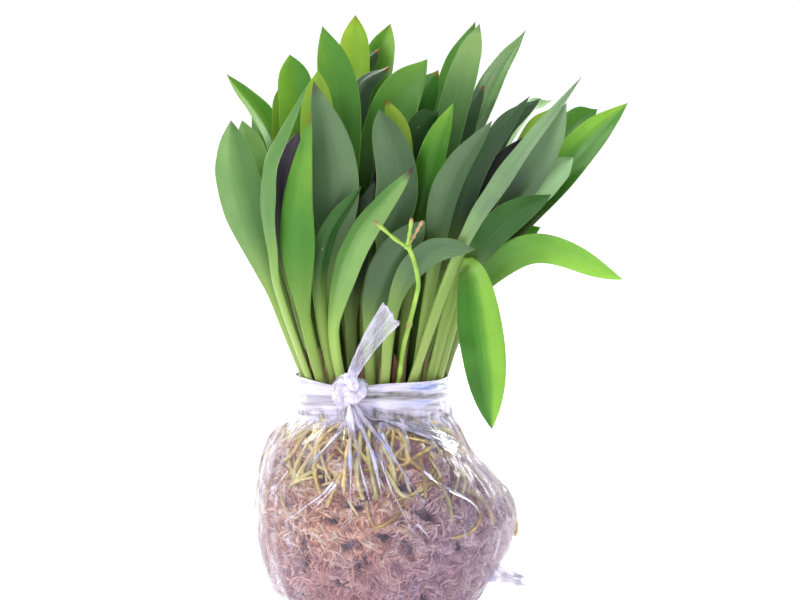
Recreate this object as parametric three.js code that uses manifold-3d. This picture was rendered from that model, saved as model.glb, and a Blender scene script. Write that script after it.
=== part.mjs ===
// A masdevallia orchid out of flower, lifted from its pot for sale: a dense clump of leathery leaves,
// each on its own slim stem, over a creeping rhizome. Its roots run down over a ball of long-fibred
// sphagnum moss, and a clear film bag is drawn up round the ball and knotted round the stems.
// Millimetres, +Z up, -Y towards the viewer. The origin is the middle of the flat spot it stands on.

import * as THREE from "three";
import { mergeVertices } from "three/addons/utils/BufferGeometryUtils.js";
import Module from "manifold-3d";

const wasm = await Module();
wasm.setup();

// The leaves and the stalk were measured in one front view, so their points are given as seen there:
// right of the middle, up from the ground, and a depth. These three turn that into real places.
const VIEW_DISTANCE = 2200;
const VIEW_TILT = (4 * Math.PI) / 180;
const VIEW_HEIGHT = 137;

// The clump: stems rise from an oval crown and lean apart as they rise, in layers from -1 at the
// front to 1 at the back.
const CROWN_X = -7.4;
const CROWN_TOP = 97;
const CROWN_SQUARENESS = 2.9;
const FEET_WIDE = 28;
const FEET_DEEP = 23.5;
const FOOT_SPACING = 5.2;
const FOOT_SINK = 4;
const LAYER_SPREAD = 0.38;

// Stem and blade sections
const FOOT_HALF_WIDTH = 1.35;
const STEM_HALF_WIDTH = 2.6;
const HOLE_RADIUS = 2.3;
const BLADE_START = 0.3;
const BLADE_EDGE = 0.7;
const BLADE_RISE = 1.3;

// The ball's outline from the flat spot to its shoulder: heights, and the reach to the left, to the
// right, and to the front and back.
const BALL_UP = [1.2, 5.5, 16, 30, 44, 57, 67, 77, 84, 88];
const BALL_LEFT = [34, 44.5, 54, 57, 57.5, 57, 55.5, 52, 46.5, 40.5];
const BALL_RIGHT = [33, 40, 47, 55, 57.5, 49.5, 39.5, 32.5, 29, 26.5];
const BALL_DEEP = [33, 42, 50, 54, 55, 52.5, 48, 42, 35.5, 30];
const BALL_COLUMNS = 36;
const BALL_ROWS = 18;
const MOSS_RELIEF = 2.4;

// Roots: slim cords that lie on the moss, under the film
const ROOTS = 30;
const ROOT_RADIUS = 1;
const ROOT_GAP = 0.5;

// The film, drawn in round the stems in a neck of stretched folds
const FILM = 0.6;
const FILM_LOW_GAP = 0.7;
const FILM_HIGH_GAP = 3;
const NECK_WIDE = 35.2;
const NECK_DEEP = 33;
const NECK_TOP = 109;
const NECK_FOLD = 0.5;
const GATHER = 0.8;
const FILM_COLUMNS = 40;
const KNOT_SEEN = [-18, 102, -38];
const KNOT_RADIUS = 6;

const TONES = {
  bright: new THREE.MeshStandardMaterial({ color: 0x5fa32e, roughness: 0.42 }),
  grey: new THREE.MeshStandardMaterial({ color: 0x5b7f55, roughness: 0.5 }),
  dark: new THREE.MeshStandardMaterial({ color: 0x24401f, roughness: 0.45 }),
  yellow: new THREE.MeshStandardMaterial({ color: 0xa3c53a, roughness: 0.42 }),
  purple: new THREE.MeshStandardMaterial({ color: 0x2b2036, roughness: 0.4 }),
};
const STALK = new THREE.MeshStandardMaterial({ color: 0x7fa83c, roughness: 0.5 });
const MOSS = new THREE.MeshStandardMaterial({ color: 0xb08f70, roughness: 0.95 });
const ROOT = new THREE.MeshStandardMaterial({ color: 0xb79c4e, roughness: 0.75 });
const CLEAR = new THREE.MeshStandardMaterial({
  color: 0xe8ecf6,
  roughness: 0.15,
  transparent: true,
  opacity: 0.3,
});

// Each leaf: name, how far right its foot is seen, then where the stem turns into blade, the blade's
// middle and its tip as seen (right, up), its layer, the blade's width, the turn of its upper face
// from the viewer in degrees, the fold of its two halves in degrees, and its tone. A leaf that leaves
// the clump's cone ends with its own depths for those three points.
const LEAVES = [
  ["arching_front", -1, [3, 141], [19, 164], [40, 167], -1, 11, 205, 12, "grey"],
  ["purple_tip_front", -23, [-25, 133], [-15, 171], [12, 205], -0.96, 12.5, 150, 20, "grey"],
  ["front_left_light", -32, [-39, 140], [-42, 187], [-35, 230], -0.92, 13.5, 165, 16, "bright"],
  ["front_middle_grey", -7, [-8, 132], [2, 161], [17, 180], -0.86, 15.5, 190, 10, "grey"],
  ["long_right", 12, [31, 161], [56, 203], [89, 246], -0.9, 8.8, 215, 16, "grey"],
  ["folded_left", -39, [-52, 155], [-55, 203], [-37, 242], -0.84, 13, 118, 22, "bright"],
  ["front_curved_dark", -28, [-31, 141], [-28, 172], [-12, 196], -0.8, 7.5, 195, 20, "dark"],
  ["hanging_right", 22, [35, 158], [43, 127], [48, 84], -0.78, 19, 0, 16, "bright", [-38, -47, -48]],
  ["grey_right_inner", 18, [21, 158], [28, 196], [48, 226], -0.76, 12, 200, 12, "grey"],
  ["tall_left_centre", -27, [-29, 149], [-25, 201], [-34, 244], -0.66, 19.5, 175, 12, "grey"],
  ["big_left", -40, [-53, 148], [-68.5, 194], [-72, 226], -0.6, 20.5, 155, 18, "grey"],
  ["centre_grey", -6, [-1, 158], [5, 199], [-4, 231], -0.62, 17, 185, 12, "grey"],
  ["right_yellow_edge", 21, [41, 161], [70, 206], [82, 234], -0.5, 12, 195, 14, "grey"],
  ["dark_right", 19, [28, 160], [39.5, 203], [65, 237], -0.5, 11, 190, 14, "dark"],
  ["round_centre", -11, [-9, 148], [3, 176], [1, 191], -0.52, 13, 180, 12, "dark"],
  ["bright_tip_centre", 8, [12, 167], [20, 209], [30, 234], -0.48, 11, 170, 14, "bright"],
  ["shaded_centre", -17, [-17, 137], [-14, 169], [-6, 198], -0.59, 12, 185, 14, "dark"],
  ["dark_right_low", 24, [35.5, 151], [51.5, 177], [75, 192], -0.62, 14, 195, 16, "dark", [-32, -38, -41]],
  ["drooping_right", 22, [33, 139], [66, 167], [108, 153], -0.24, 13, 20, 10, "bright", [-12, -17, -26]],
  ["yellow_behind_left", -28, [-30, 158], [-32, 222], [-32, 249], -0.42, 14, 180, 14, "yellow"],
  ["brown_tip_centre", -3, [2, 158], [5.5, 213], [-1, 236], -0.42, 9.5, 175, 16, "yellow"],
  ["purple_left", -35, [-43, 148], [-47.5, 192], [-41, 221], -0.35, 15, 170, 14, "purple"],
  ["black_right", 20, [31, 163], [47, 194], [62, 218], -0.36, 15, 190, 12, "purple"],
  ["pale_right", 27, [45, 167], [72, 196], [85, 209], -0.2, 13, 200, 18, "grey"],
  ["ribbed_dark_centre", -9, [-11, 162], [-5.5, 203], [-3.5, 227], -0.4, 13, 125, 20, "purple"],
  ["tallest_left", -23, [-24, 160], [-23, 233], [-30, 269], -0.24, 18.5, 20, 14, "bright"],
  ["behind_dark_right", 19, [30, 158], [51, 216], [70, 236], -0.24, 12, 190, 14, "dark"],
  ["left_behind_big", -39, [-52, 162], [-62, 204], [-67, 226], -0.23, 14, 160, 14, "grey"],
  ["big_centre_bright", -11, [-12, 168], [2, 229], [18, 254], -0.12, 20, -10, 14, "bright"],
  ["dark_sliver_centre", 3, [7, 160], [14, 217], [23, 230], -0.22, 12, 190, 12, "dark"],
  ["spotted_upper_right", 6, [14, 168], [32, 240], [42, 270], -0.1, 13, 15, 12, "bright"],
  ["far_right_big", 24, [46, 160], [87, 212], [110, 234], -0.01, 15.5, -20, 16, "bright"],
  ["bright_sliver_right", 22, [37, 160], [63, 217], [74, 233], -0.06, 13, 10, 14, "yellow"],
  ["upper_left_round", -31, [-37, 158], [-42, 229], [-45, 256], -0.08, 15.5, 10, 14, "bright"],
  ["bright_low_right", 20, [35, 147], [56, 169], [70, 177], 0.09, 11, -30, 14, "bright"],
  ["brown_tip_upper", -15, [-16, 165], [-15, 233], [1, 251], 0.04, 10, 150, 16, "dark"],
  ["dark_tip_upper", -5, [0, 165], [14, 230], [23, 249], 0.08, 12, 175, 18, "dark"],
  ["upper_right_behind", 3, [12, 168], [27, 240], [40, 271], 0.2, 12, 20, 14, "bright"],
  ["yellow_sliver_left", -34, [-41, 158], [-48, 222], [-47, 246], 0.14, 11, 30, 12, "yellow"],
  ["far_left_upper", -36, [-45, 165], [-53, 216], [-74, 247], 0.2, 14, 45, 20, "bright"],
  ["right_far_behind", 27, [43, 164], [81, 218], [96, 231], 0.22, 13, -20, 14, "bright"],
  ["top_yellow", -20, [-20, 160], [-17, 242], [-15, 274], 0.26, 14, 5, 14, "yellow"],
  ["small_dark_top", -17, [-18, 170], [-13, 241], [-4, 259], 0.36, 9, 160, 16, "dark"],
  ["pale_right_upper", 20, [33, 165], [60, 224], [75, 235], 0.3, 12, -60, 16, "grey"],
  ["top_pointed", -17, [-17, 160], [-7, 240], [1, 270], 0.46, 14.5, -15, 18, "bright"],
  ["leaning_upper_right", 10, [20, 168], [45, 236], [63, 267], 0.3, 11.5, -35, 14, "bright"],
  ["small_dark_right", 12, [23, 165], [35, 224], [44, 242], 0.14, 9, 170, 14, "dark"],
  ["small_centre_left", -18, [-20, 157], [-15.5, 187], [-16, 204], -0.4, 9, 180, 14, "dark"],
  ["dark_low_left", -37, [-42, 134], [-48, 160], [-54, 176], -0.1, 12, 165, 14, "dark"],
  ["back_left", -26, [-40, 165], [-54, 205], [-62, 232], 0.5, 15, 40, 14, "bright"],
  ["back_left_low", -20, [-30, 150], [-44, 186], [-60, 208], 0.72, 15, 30, 14, "grey"],
  ["back_centre", -10, [-16, 160], [-22, 208], [-26, 240], 0.78, 16, 10, 12, "bright"],
  ["back_centre_tall", -2, [2, 165], [10, 214], [16, 250], 0.66, 16, -10, 12, "bright"],
  ["back_outer", -8, [-4, 142], [2, 178], [6, 206], 1, 16, 0, 14, "grey"],
  ["back_right", 8, [18, 160], [32, 204], [42, 236], 0.84, 15, -20, 14, "bright"],
  ["back_right_low", 14, [28, 150], [48, 184], [66, 204], 0.6, 15, -35, 14, "grey"],
];

const ROOT_SEED = 7;
const MOSS_SEED = 3;

// A seeded random number from 0 to 1
function randomFrom(seed) {
  let state = seed * 7919 + 1;
  return () => {
    state = (state * 16807) % 2147483647;
    return state / 2147483647;
  };
}

// A smooth value through a list of numbers; at runs from 0 at the first to 1 at the last
function through(values, at) {
  const scaled = Math.min(Math.max(at, 0), 1) * (values.length - 1);
  const i = Math.min(Math.floor(scaled), values.length - 2);
  const t = scaled - i;
  const b = values[i];
  const c = values[i + 1];
  const a = i > 0 ? values[i - 1] : 2 * b - c;
  const d = i + 2 < values.length ? values[i + 2] : 2 * c - b;
  return b + 0.5 * t * (c - a + t * (2 * a - 5 * b + 4 * c - d + t * (3 * (b - c) + d - a)));
}

// A smooth point through a list of points
function alongPoints(points, at) {
  return new THREE.Vector3(
    through(points.map((p) => p.x), at),
    through(points.map((p) => p.y), at),
    through(points.map((p) => p.z), at),
  );
}

const mix = (a, b, t) => a + (b - a) * t;
const step = (a, b, x) => THREE.MathUtils.smoothstep(x, a, b);

// The real place of a point that is seen so far right and up, at a depth
function seen(right, up, depth) {
  const nearness = 1 + depth / VIEW_DISTANCE;
  const rise = ((up - VIEW_HEIGHT) * nearness) / Math.cos(VIEW_TILT);
  return new THREE.Vector3(right * nearness, depth, VIEW_HEIGHT + rise - depth * Math.tan(VIEW_TILT));
}

// A closed geometry from triangles given as vertex numbers, turned to face outwards
function closed(points, faces) {
  let volume = 0;
  for (const [a, b, c] of faces) {
    volume += points[a].dot(new THREE.Vector3().crossVectors(points[b], points[c]));
  }
  const index = faces.flatMap(([a, b, c]) => (volume < 0 ? [a, c, b] : [a, b, c]));
  const made = new THREE.BufferGeometry();
  made.setAttribute("position", new THREE.Float32BufferAttribute(points.flatMap((p) => p.toArray()), 3));
  made.setIndex(index);
  return made;
}

// A solid skin over rings of points, with flat ends fanned from each ring's second point. From the
// corner number split on, quads are cut along the other diagonal, so that a thin blade's two faces
// are cut alike.
function loft(rings, split = Infinity) {
  const n = rings[0].length;
  const faces = [];
  for (let i = 0; i + 1 < rings.length; i++) {
    for (let j = 0; j < n; j++) {
      const a = i * n + j;
      const b = i * n + ((j + 1) % n);
      const [c, d] = [b + n, a + n];
      faces.push(...(j < split ? [[a, b, c], [a, c, d]] : [[a, b, d], [b, c, d]]));
    }
  }
  const last = (rings.length - 1) * n;
  for (let j = 2; j <= n - 1; j++) {
    const k = (j + 1) % n;
    faces.push([1, k, j], [last + 1, last + j, last + k]);
  }
  return closed(rings.flat(), faces);
}

// A solid of revolution with its own shape in each column: rows run from one pole to the other
function turned(columns, rows, place) {
  const points = [place(0, 0), place(0, rows)];
  for (let j = 1; j < rows; j++) {
    for (let i = 0; i < columns; i++) points.push(place(i / columns, j));
  }
  const at = (i, j) => 2 + (j - 1) * columns + (i % columns);
  const faces = [];
  for (let i = 0; i < columns; i++) {
    faces.push([0, at(i + 1, 1), at(i, 1)], [1, at(i, rows - 1), at(i + 1, rows - 1)]);
    for (let j = 1; j < rows - 1; j++) {
      faces.push([at(i, j), at(i + 1, j), at(i + 1, j + 1)], [at(i, j), at(i + 1, j + 1), at(i, j + 1)]);
    }
  }
  return closed(points, faces);
}

// A cord with the given number of sides along points; its radius may change on the way
function cord(points, radiusAt, sides, reference) {
  return loft(
    points.map((p, i) => {
      const ahead = points[Math.min(i + 1, points.length - 1)];
      const along = ahead.clone().sub(points[Math.max(i - 1, 0)]).normalize();
      const side = new THREE.Vector3().crossVectors(along, reference(p)).normalize();
      const up = new THREE.Vector3().crossVectors(side, along);
      const r = radiusAt(i / (points.length - 1));
      return Array.from({ length: sides }, (_, k) => {
        const turn = (2 * Math.PI * k) / sides;
        return p.clone().addScaledVector(side, r * Math.cos(turn)).addScaledVector(up, r * Math.sin(turn));
      });
    }),
  );
}

// Geometry to a manifold-3d solid and back, for joining and cutting
function solid(geometry) {
  const bare = geometry.clone();
  bare.deleteAttribute("normal");
  bare.deleteAttribute("uv");
  const merged = mergeVertices(bare, 1e-4);
  return new wasm.Manifold(
    new wasm.Mesh({
      numProp: 3,
      vertProperties: new Float32Array(merged.attributes.position.array),
      triVerts: new Uint32Array(merged.index.array),
    }),
  );
}

function geometryOf(made) {
  const mesh = made.getMesh();
  const geometry = new THREE.BufferGeometry();
  geometry.setAttribute("position", new THREE.Float32BufferAttribute(mesh.vertProperties, 3));
  geometry.setIndex(Array.from(mesh.triVerts));
  return geometry;
}

const joined = (geometries) => geometries.map(solid).reduce((a, b) => a.add(b));

// The crown's and the neck's outline: how deep it is, as a share, so far across
const crownShape = (across) => (1 - Math.abs(across) ** CROWN_SQUARENESS) ** (1 / CROWN_SQUARENESS);

// A place on that outline, grown to the given half width and half depth
function crownRim(turns, wide, deep) {
  const [c, s] = [Math.cos(2 * Math.PI * turns), Math.sin(2 * Math.PI * turns)];
  const reach = (Math.abs(c) ** CROWN_SQUARENESS + Math.abs(s) ** CROWN_SQUARENESS) ** (-1 / CROWN_SQUARENESS);
  return [CROWN_X + wide * c * reach, deep * s * reach];
}

// Where each stem stands on the crown: at its own place across, and as deep as its layer, then
// pushed apart until no two are closer than the spacing
function standStems() {
  const feet = LEAVES.map(([, right, , , , layer]) => {
    const across = THREE.MathUtils.clamp(((right - CROWN_X) * 0.73) / FEET_WIDE, -0.95, 0.95);
    return [across * FEET_WIDE, layer * FEET_DEEP * crownShape(across)];
  });
  for (let round = 0; round < 300; round++) {
    feet.forEach((a, i) => {
      feet.slice(0, i).forEach((b) => {
        const [dx, dy] = [a[0] - b[0], a[1] - b[1]];
        const apart = Math.hypot(dx, dy) || 0.01;
        const push = Math.max(0, FOOT_SPACING - apart) / (2 * apart);
        a[0] += dx * push;
        a[1] += dy * push;
        b[0] -= dx * push;
        b[1] -= dy * push;
      });
      const share = Math.abs(a[0] / FEET_WIDE) ** CROWN_SQUARENESS + Math.abs(a[1] / FEET_DEEP) ** CROWN_SQUARENESS;
      const out = share ** (1 / CROWN_SQUARENESS);
      if (out > 1) {
        a[0] /= out;
        a[1] /= out;
      }
    });
  }
  return feet.map(([x, y]) => new THREE.Vector3(CROWN_X + x, y, CROWN_TOP - FOOT_SINK));
}

// How far in front or behind a layer lies at a height
const layerDepth = (layer, up) => layer * (FEET_DEEP + LAYER_SPREAD * (up - CROWN_TOP));

// The blade's half width as a share of its widest, from its base at 0 to its tip at 1: it is widest at
// its own place, and the rounder its end, the later it narrows
function bladeShape(share, [widest, roundness]) {
  if (share < widest) return Math.sin((Math.PI / 2) * (share / widest)) ** BLADE_RISE;
  return 1 - ((share - widest) / (1 - widest)) ** roundness;
}

// The six corners of a leaf's section round its midrib: upper left, rib and right, then under them
function leafRing(points, at, width, turn, fold, form) {
  const p = alongPoints(points, at);
  const along = alongPoints(points, at + 0.01).sub(alongPoints(points, at - 0.01)).normalize();
  const toViewer = new THREE.Vector3(0, -1, 0);
  const up = toViewer.addScaledVector(along, -toViewer.dot(along)).normalize();
  up.applyAxisAngle(along, (turn * Math.PI) / 180);
  const side = new THREE.Vector3().crossVectors(along, up);
  const blade = Math.max(0, (at - BLADE_START) / (1 - BLADE_START));
  const flat = step(0, 0.18, blade);
  const end = step(0.9, 1, blade);
  const stem = mix(FOOT_HALF_WIDTH, STEM_HALF_WIDTH, step(0, 0.3, at));
  const half = Math.max(0.6, stem * (1 - blade) + (width / 2 - 0.6) * bladeShape(blade, form));
  const edge = mix(1.5, BLADE_EDGE, flat);
  const lift = mix(0.2, half * Math.tan((fold * Math.PI) / 180), flat);
  const groove = mix(0.7, 0.4, flat);
  const keel = mix(1.3, 0.9, flat) - 0.3 * end;
  const corner = (across, height) =>
    p.clone().addScaledVector(side, across).addScaledVector(up, height);
  return [
    corner(-half, lift + edge / 2),
    corner(0, groove),
    corner(half, lift + edge / 2),
    corner(half, lift - edge / 2),
    corner(0, -keel),
    corner(-half, lift - edge / 2),
  ];
}

// Where each blade is widest, as a share of its length, and how round its end is
const USUAL_BLADE = [0.52, 2.6];
const BLADE_FORMS = {
  arching_front: [0.5, 3], purple_tip_front: [0.5, 2.6], front_left_light: [0.41, 1.9],
  front_middle_grey: [0.5, 3.2], long_right: [0.5, 1.9], folded_left: [0.5, 2.2],
  hanging_right: [0.55, 2.8], grey_right_inner: [0.5, 2.4], tall_left_centre: [0.45, 2.3],
  big_left: [0.5, 2.6], centre_grey: [0.45, 4.2], dark_right: [0.5, 2.3], round_centre: [0.55, 4],
  bright_tip_centre: [0.5, 2], drooping_right: [0.52, 3.5], pale_right: [0.55, 3],
  tallest_left: [0.45, 2.8], left_behind_big: [0.5, 3], big_centre_bright: [0.5, 2.2],
  spotted_upper_right: [0.45, 3.2], far_right_big: [0.42, 2.1], upper_left_round: [0.5, 4.4],
  brown_tip_upper: [0.5, 2.2], top_yellow: [0.5, 4], top_pointed: [0.55, 2.8],
  leaning_upper_right: [0.5, 2], upper_right_behind: [0.5, 2.4],
};

const LEAF_STATIONS = [0, 0.15, 0.3, 0.4, 0.5, 0.61, 0.72, 0.82, 0.9, 0.965, 1];
const LEAF_FACE_CORNERS = 3;

function leafPath([, , neck, middle, tip, layer, , , , , depths], foot) {
  const marks = [neck, middle, tip].map(([right, up], i) =>
    seen(right, up, depths ? depths[i] : layerDepth(layer, up)),
  );
  return [foot, ...marks];
}

function leafGeometry(row, foot) {
  const [name, , , , , , width, turn, fold] = row;
  const form = BLADE_FORMS[name] ?? USUAL_BLADE;
  const points = leafPath(row, foot);
  return loft(
    LEAF_STATIONS.map((at) => leafRing(points, at, width, turn, fold, form)),
    LEAF_FACE_CORNERS,
  );
}

// A place on the ball: turns is 0 to the right and a quarter at the back, rise is 0 at the flat
// spot's rim and 1 at the shoulder, and out is how far off the surface it lies
function ballPoint(turns, rise, out) {
  const angle = 2 * Math.PI * turns;
  const reachAt = (at) => {
    const deep = through(BALL_DEEP, at);
    const side = through(Math.cos(angle) > 0 ? BALL_RIGHT : BALL_LEFT, at);
    return mix(deep, side, Math.cos(angle) ** 2);
  };
  const small = 0.01;
  const run = reachAt(rise + small) - reachAt(rise - small);
  const climb = through(BALL_UP, rise + small) - through(BALL_UP, rise - small);
  const slope = Math.hypot(run, climb);
  const reach = reachAt(rise) + (out * climb) / slope;
  const up = through(BALL_UP, rise) - (out * run) / slope;
  return new THREE.Vector3(reach * Math.cos(angle), reach * Math.sin(angle), up);
}

// The moss: the ball with a shaggy surface, dented inwards at random
function mossGeometry() {
  const random = randomFrom(MOSS_SEED);
  const dents = Array.from({ length: BALL_COLUMNS * (BALL_ROWS + 1) }, random);
  return turned(BALL_COLUMNS, BALL_ROWS, (turns, row) => {
    if (row === 0) return new THREE.Vector3(0, 0, BALL_UP[0]);
    if (row === BALL_ROWS) return new THREE.Vector3(CROWN_X, 0, BALL_UP.at(-1));
    const rise = (row - 1) / (BALL_ROWS - 2);
    const inner = row > 1 && row < BALL_ROWS - 1;
    const dent = inner ? MOSS_RELIEF * dents[row * BALL_COLUMNS + Math.round(turns * BALL_COLUMNS)] : 0;
    return ballPoint(turns + (row % 2) / (2 * BALL_COLUMNS), rise, -dent);
  });
}

// The rhizome's crown, with the roots that run from its rim down over the moss
function rootPath(turns, sway, end, random) {
  const wave = (random() - 0.5) * 0.05;
  const points = [new THREE.Vector3(...crownRim(turns, FEET_WIDE + 1, FEET_DEEP + 1), CROWN_TOP - 5)];
  const steps = 6;
  for (let i = 0; i <= steps; i++) {
    const t = i / steps;
    const around = turns + sway * t + wave * Math.sin(5 * t + 10 * turns);
    points.push(ballPoint(around, mix(0.99, end, t), ROOT_RADIUS + ROOT_GAP));
  }
  return points;
}

function rootsGeometry(feet) {
  const random = randomFrom(ROOT_SEED);
  const crown = loft(
    [BALL_UP.at(-1) + 0.4, CROWN_TOP].map((up) =>
      Array.from({ length: 20 }, (_, i) =>
        new THREE.Vector3(...crownRim(i / 20, FEET_WIDE + 3.5, FEET_DEEP + 3.5), up),
      ),
    ),
  );
  const roots = Array.from({ length: ROOTS }, (_, i) => {
    const turns = (i + 0.6 * random()) / ROOTS;
    const path = rootPath(turns, (random() - 0.5) * 0.16, mix(0.55, 0.72, random()), random);
    const centre = new THREE.Vector3(0, 0, 45);
    return cord(path, (t) => ROOT_RADIUS * (1 - 0.35 * t ** 4), 4, (p) => p.clone().sub(centre));
  });
  const holes = LEAVES.map((row, i) => {
    const points = leafPath(row, feet[i]);
    const along = alongPoints(points, 0.03).sub(points[0]).normalize();
    const ends = [-0.4, 10].map((far) => points[0].clone().addScaledVector(along, far));
    return cord(ends, () => HOLE_RADIUS, 5, () => new THREE.Vector3(0, -1, 0));
  });
  return geometryOf(joined([crown, ...roots]).subtract(joined(holes)));
}

// The film bag. Its rows run from the middle of its flat foot up the outside, over the lip of the
// neck, and down the inside.
const WALL_ROWS = 11;
const NECK_UPS = [97, 100, 103, 106, NECK_TOP];

function filmPoint(turns, row, inner) {
  const thin = inner ? FILM : 0;
  const angle = 2 * Math.PI * turns;
  if (row < WALL_ROWS) {
    const rise = row / (WALL_ROWS - 1);
    const stand = mix(FILM_LOW_GAP, FILM_HIGH_GAP, step(0.25, 0.55, rise));
    const side = Math.max(0, -Math.cos(angle)) * 1.4 * (1 - step(0.4, 0.6, rise)) * step(0, 0.2, rise);
    const column = Math.round(turns * FILM_COLUMNS) % FILM_COLUMNS;
    const gather = GATHER * (column % 2) * (1 + Math.sin(5 * column)) * step(0.35, 0.9, rise);
    const p = ballPoint(turns, rise, stand + side + gather + FILM - thin);
    if (row === 0) p.z = thin;
    return p;
  }
  const inset = ((row - WALL_ROWS) % 2) * NECK_FOLD + thin;
  return new THREE.Vector3(
    ...crownRim(turns, NECK_WIDE - inset, NECK_DEEP - inset),
    NECK_UPS[row - WALL_ROWS],
  );
}

const KNOT = seen(...KNOT_SEEN);

// A loose knot: a lump with film wrapped across it three ways
function knotParts() {
  const lump = new THREE.IcosahedronGeometry(KNOT_RADIUS - 0.6, 1);
  lump.translate(KNOT.x, KNOT.y, KNOT.z);
  const wraps = [[0.3, 0.2], [1.4, 1.1], [-0.7, 2.2]].map(([tip, spin]) => {
    const wrap = new THREE.TorusGeometry(KNOT_RADIUS - 2.1, 2.1, 6, 11);
    wrap.rotateX(tip);
    wrap.rotateY(spin);
    wrap.translate(KNOT.x, KNOT.y, KNOT.z);
    return wrap;
  });
  return [lump, ...wraps];
}

// The end of the film that stands up out of the knot: pleated, and torn off in two points
const TAIL = [[-19, 103, 0], [-14, 114, -4], [-7, 126, -8], [2, 138, -11]];

function tailGeometry() {
  const points = TAIL.map(([right, up, forward]) => seen(right, up, KNOT.y - 1 + forward));
  const stations = [0, 0.2, 0.4, 0.6, 0.8, 1];
  return loft(
    stations.map((at) => {
      const p = alongPoints(points, at);
      const along = alongPoints(points, at + 0.02).sub(alongPoints(points, at - 0.02)).normalize();
      const side = new THREE.Vector3().crossVectors(along, new THREE.Vector3(0, -1, 0)).normalize();
      const up = new THREE.Vector3().crossVectors(side, along);
      const half = mix(1.6, 5.4, at ** 1.4);
      const torn = at === 1 ? [3, -1, 1.5, -2.5, 1] : [0, 0, 0, 0, 0];
      const face = (lift) =>
        torn.map((pull, k) =>
          p
            .clone()
            .addScaledVector(side, half * (k / 2 - 1))
            .addScaledVector(up, (k % 2 ? 1 : -1) * mix(0.3, 1.1, at) + lift)
            .addScaledVector(along, pull),
        );
      return [...face(0.6), ...face(-0.6).reverse()];
    }),
    5,
  );
}

// The stout fold that comes out of the knot and lies across the ball's right shoulder, as seen
const FOLD_SEEN = [[-16, 99], [-8, 95], [4, 90], [16, 85], [26, 79], [34, 73]];
const FOLD_RADIUS = 1.7;

// The place in front of the film, so far off it, that is seen so far right and up
function overFilm(right, up, off) {
  let turns = 0.75 + right / 400;
  let rise = 0.7;
  let p = KNOT;
  for (let round = 0; round < 60; round++) {
    p = ballPoint(turns, rise, FILM + FILM_HIGH_GAP + off);
    const goal = seen(right, up, p.y);
    turns += (goal.x - p.x) / 700;
    rise = THREE.MathUtils.clamp(rise + (goal.z - p.z) / 250, 0.05, 1);
  }
  return p;
}

function foldGeometry() {
  const points = FOLD_SEEN.map(([right, up], i) => {
    const off = mix(FOLD_RADIUS - 0.5, 0, i / (FOLD_SEEN.length - 1));
    return overFilm(right, up, off).lerp(KNOT, i === 0 ? 0.8 : 0);
  });
  const centre = new THREE.Vector3(0, 0, 45);
  return cord(points, (t) => FOLD_RADIUS * (1 - 0.5 * t ** 2), 5, (p) => p.clone().sub(centre));
}

function filmGeometry() {
  const rows = WALL_ROWS + NECK_UPS.length;
  const shell = turned(FILM_COLUMNS, 2 * rows + 1, (turns, j) => {
    if (j === 0) return new THREE.Vector3(0, 0, 0);
    if (j === 2 * rows + 1) return new THREE.Vector3(0, 0, FILM);
    return j <= rows ? filmPoint(turns, j - 1, false) : filmPoint(turns, 2 * rows - j, true);
  });
  return geometryOf(joined([shell, ...knotParts(), tailGeometry(), foldGeometry()]));
}

// The cut flower stalk, in front of the leaves, with the stubs of its three branches
const STALK_RADIUS = 1.1;
const STALK_MAIN = [[5, 107], [7, 121], [10, 133], [13, 145], [14, 152], [12, 162], [9, 169]];
const STALK_STUBS = [
  [[9, 168], [3, 172], [-6, 180]],
  [[9, 169], [10, 174], [11, 181]],
  [[9, 168], [12, 173], [16, 180]],
];

function stalkGeometry(foot) {
  const inFront = (up) => -(FEET_DEEP - 0.6 + 0.5 * (up - CROWN_TOP));
  const placed = (marks) => marks.map(([right, up]) => seen(right, up, inFront(up)));
  const main = [foot, ...placed(STALK_MAIN)];
  const tubes = [main, ...STALK_STUBS.map(placed)].map((points, i) =>
    cord(points, () => (i === 0 ? STALK_RADIUS : STALK_RADIUS * 0.85), 6, () => new THREE.Vector3(0, -1, 0)),
  );
  return geometryOf(joined(tubes));
}

const orchid = new THREE.Group();

function addPiece(name, geometry, material) {
  const piece = new THREE.Mesh(geometry, material);
  piece.name = name;
  orchid.add(piece);
}

const feet = standStems();
LEAVES.forEach((row, i) => addPiece(`leaf_${row[0]}`, leafGeometry(row, feet[i]), TONES[row[9]]));
const stalkFoot = new THREE.Vector3(2, -FEET_DEEP - 1.5, CROWN_TOP + 0.4);
addPiece("flower_stalk", stalkGeometry(stalkFoot), STALK);
addPiece("rhizome_and_roots", rootsGeometry(feet), ROOT);
addPiece("moss_ball", mossGeometry(), MOSS);
addPiece("film_bag", filmGeometry(), CLEAR);

export default orchid;
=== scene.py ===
import math
from collections import namedtuple

import bpy
import numpy as np
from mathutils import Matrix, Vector


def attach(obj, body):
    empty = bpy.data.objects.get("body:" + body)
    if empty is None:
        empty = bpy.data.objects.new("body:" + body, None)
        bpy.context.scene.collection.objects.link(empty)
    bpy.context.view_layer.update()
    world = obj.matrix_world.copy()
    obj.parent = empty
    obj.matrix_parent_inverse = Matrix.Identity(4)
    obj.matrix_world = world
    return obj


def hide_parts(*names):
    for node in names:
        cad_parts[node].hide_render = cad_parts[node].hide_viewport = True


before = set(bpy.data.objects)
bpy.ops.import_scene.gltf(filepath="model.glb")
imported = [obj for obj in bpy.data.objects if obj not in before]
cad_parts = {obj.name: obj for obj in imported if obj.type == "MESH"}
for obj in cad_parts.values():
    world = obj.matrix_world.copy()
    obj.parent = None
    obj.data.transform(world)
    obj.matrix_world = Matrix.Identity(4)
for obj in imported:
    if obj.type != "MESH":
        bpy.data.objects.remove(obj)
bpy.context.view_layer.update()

MM = 0.001

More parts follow.
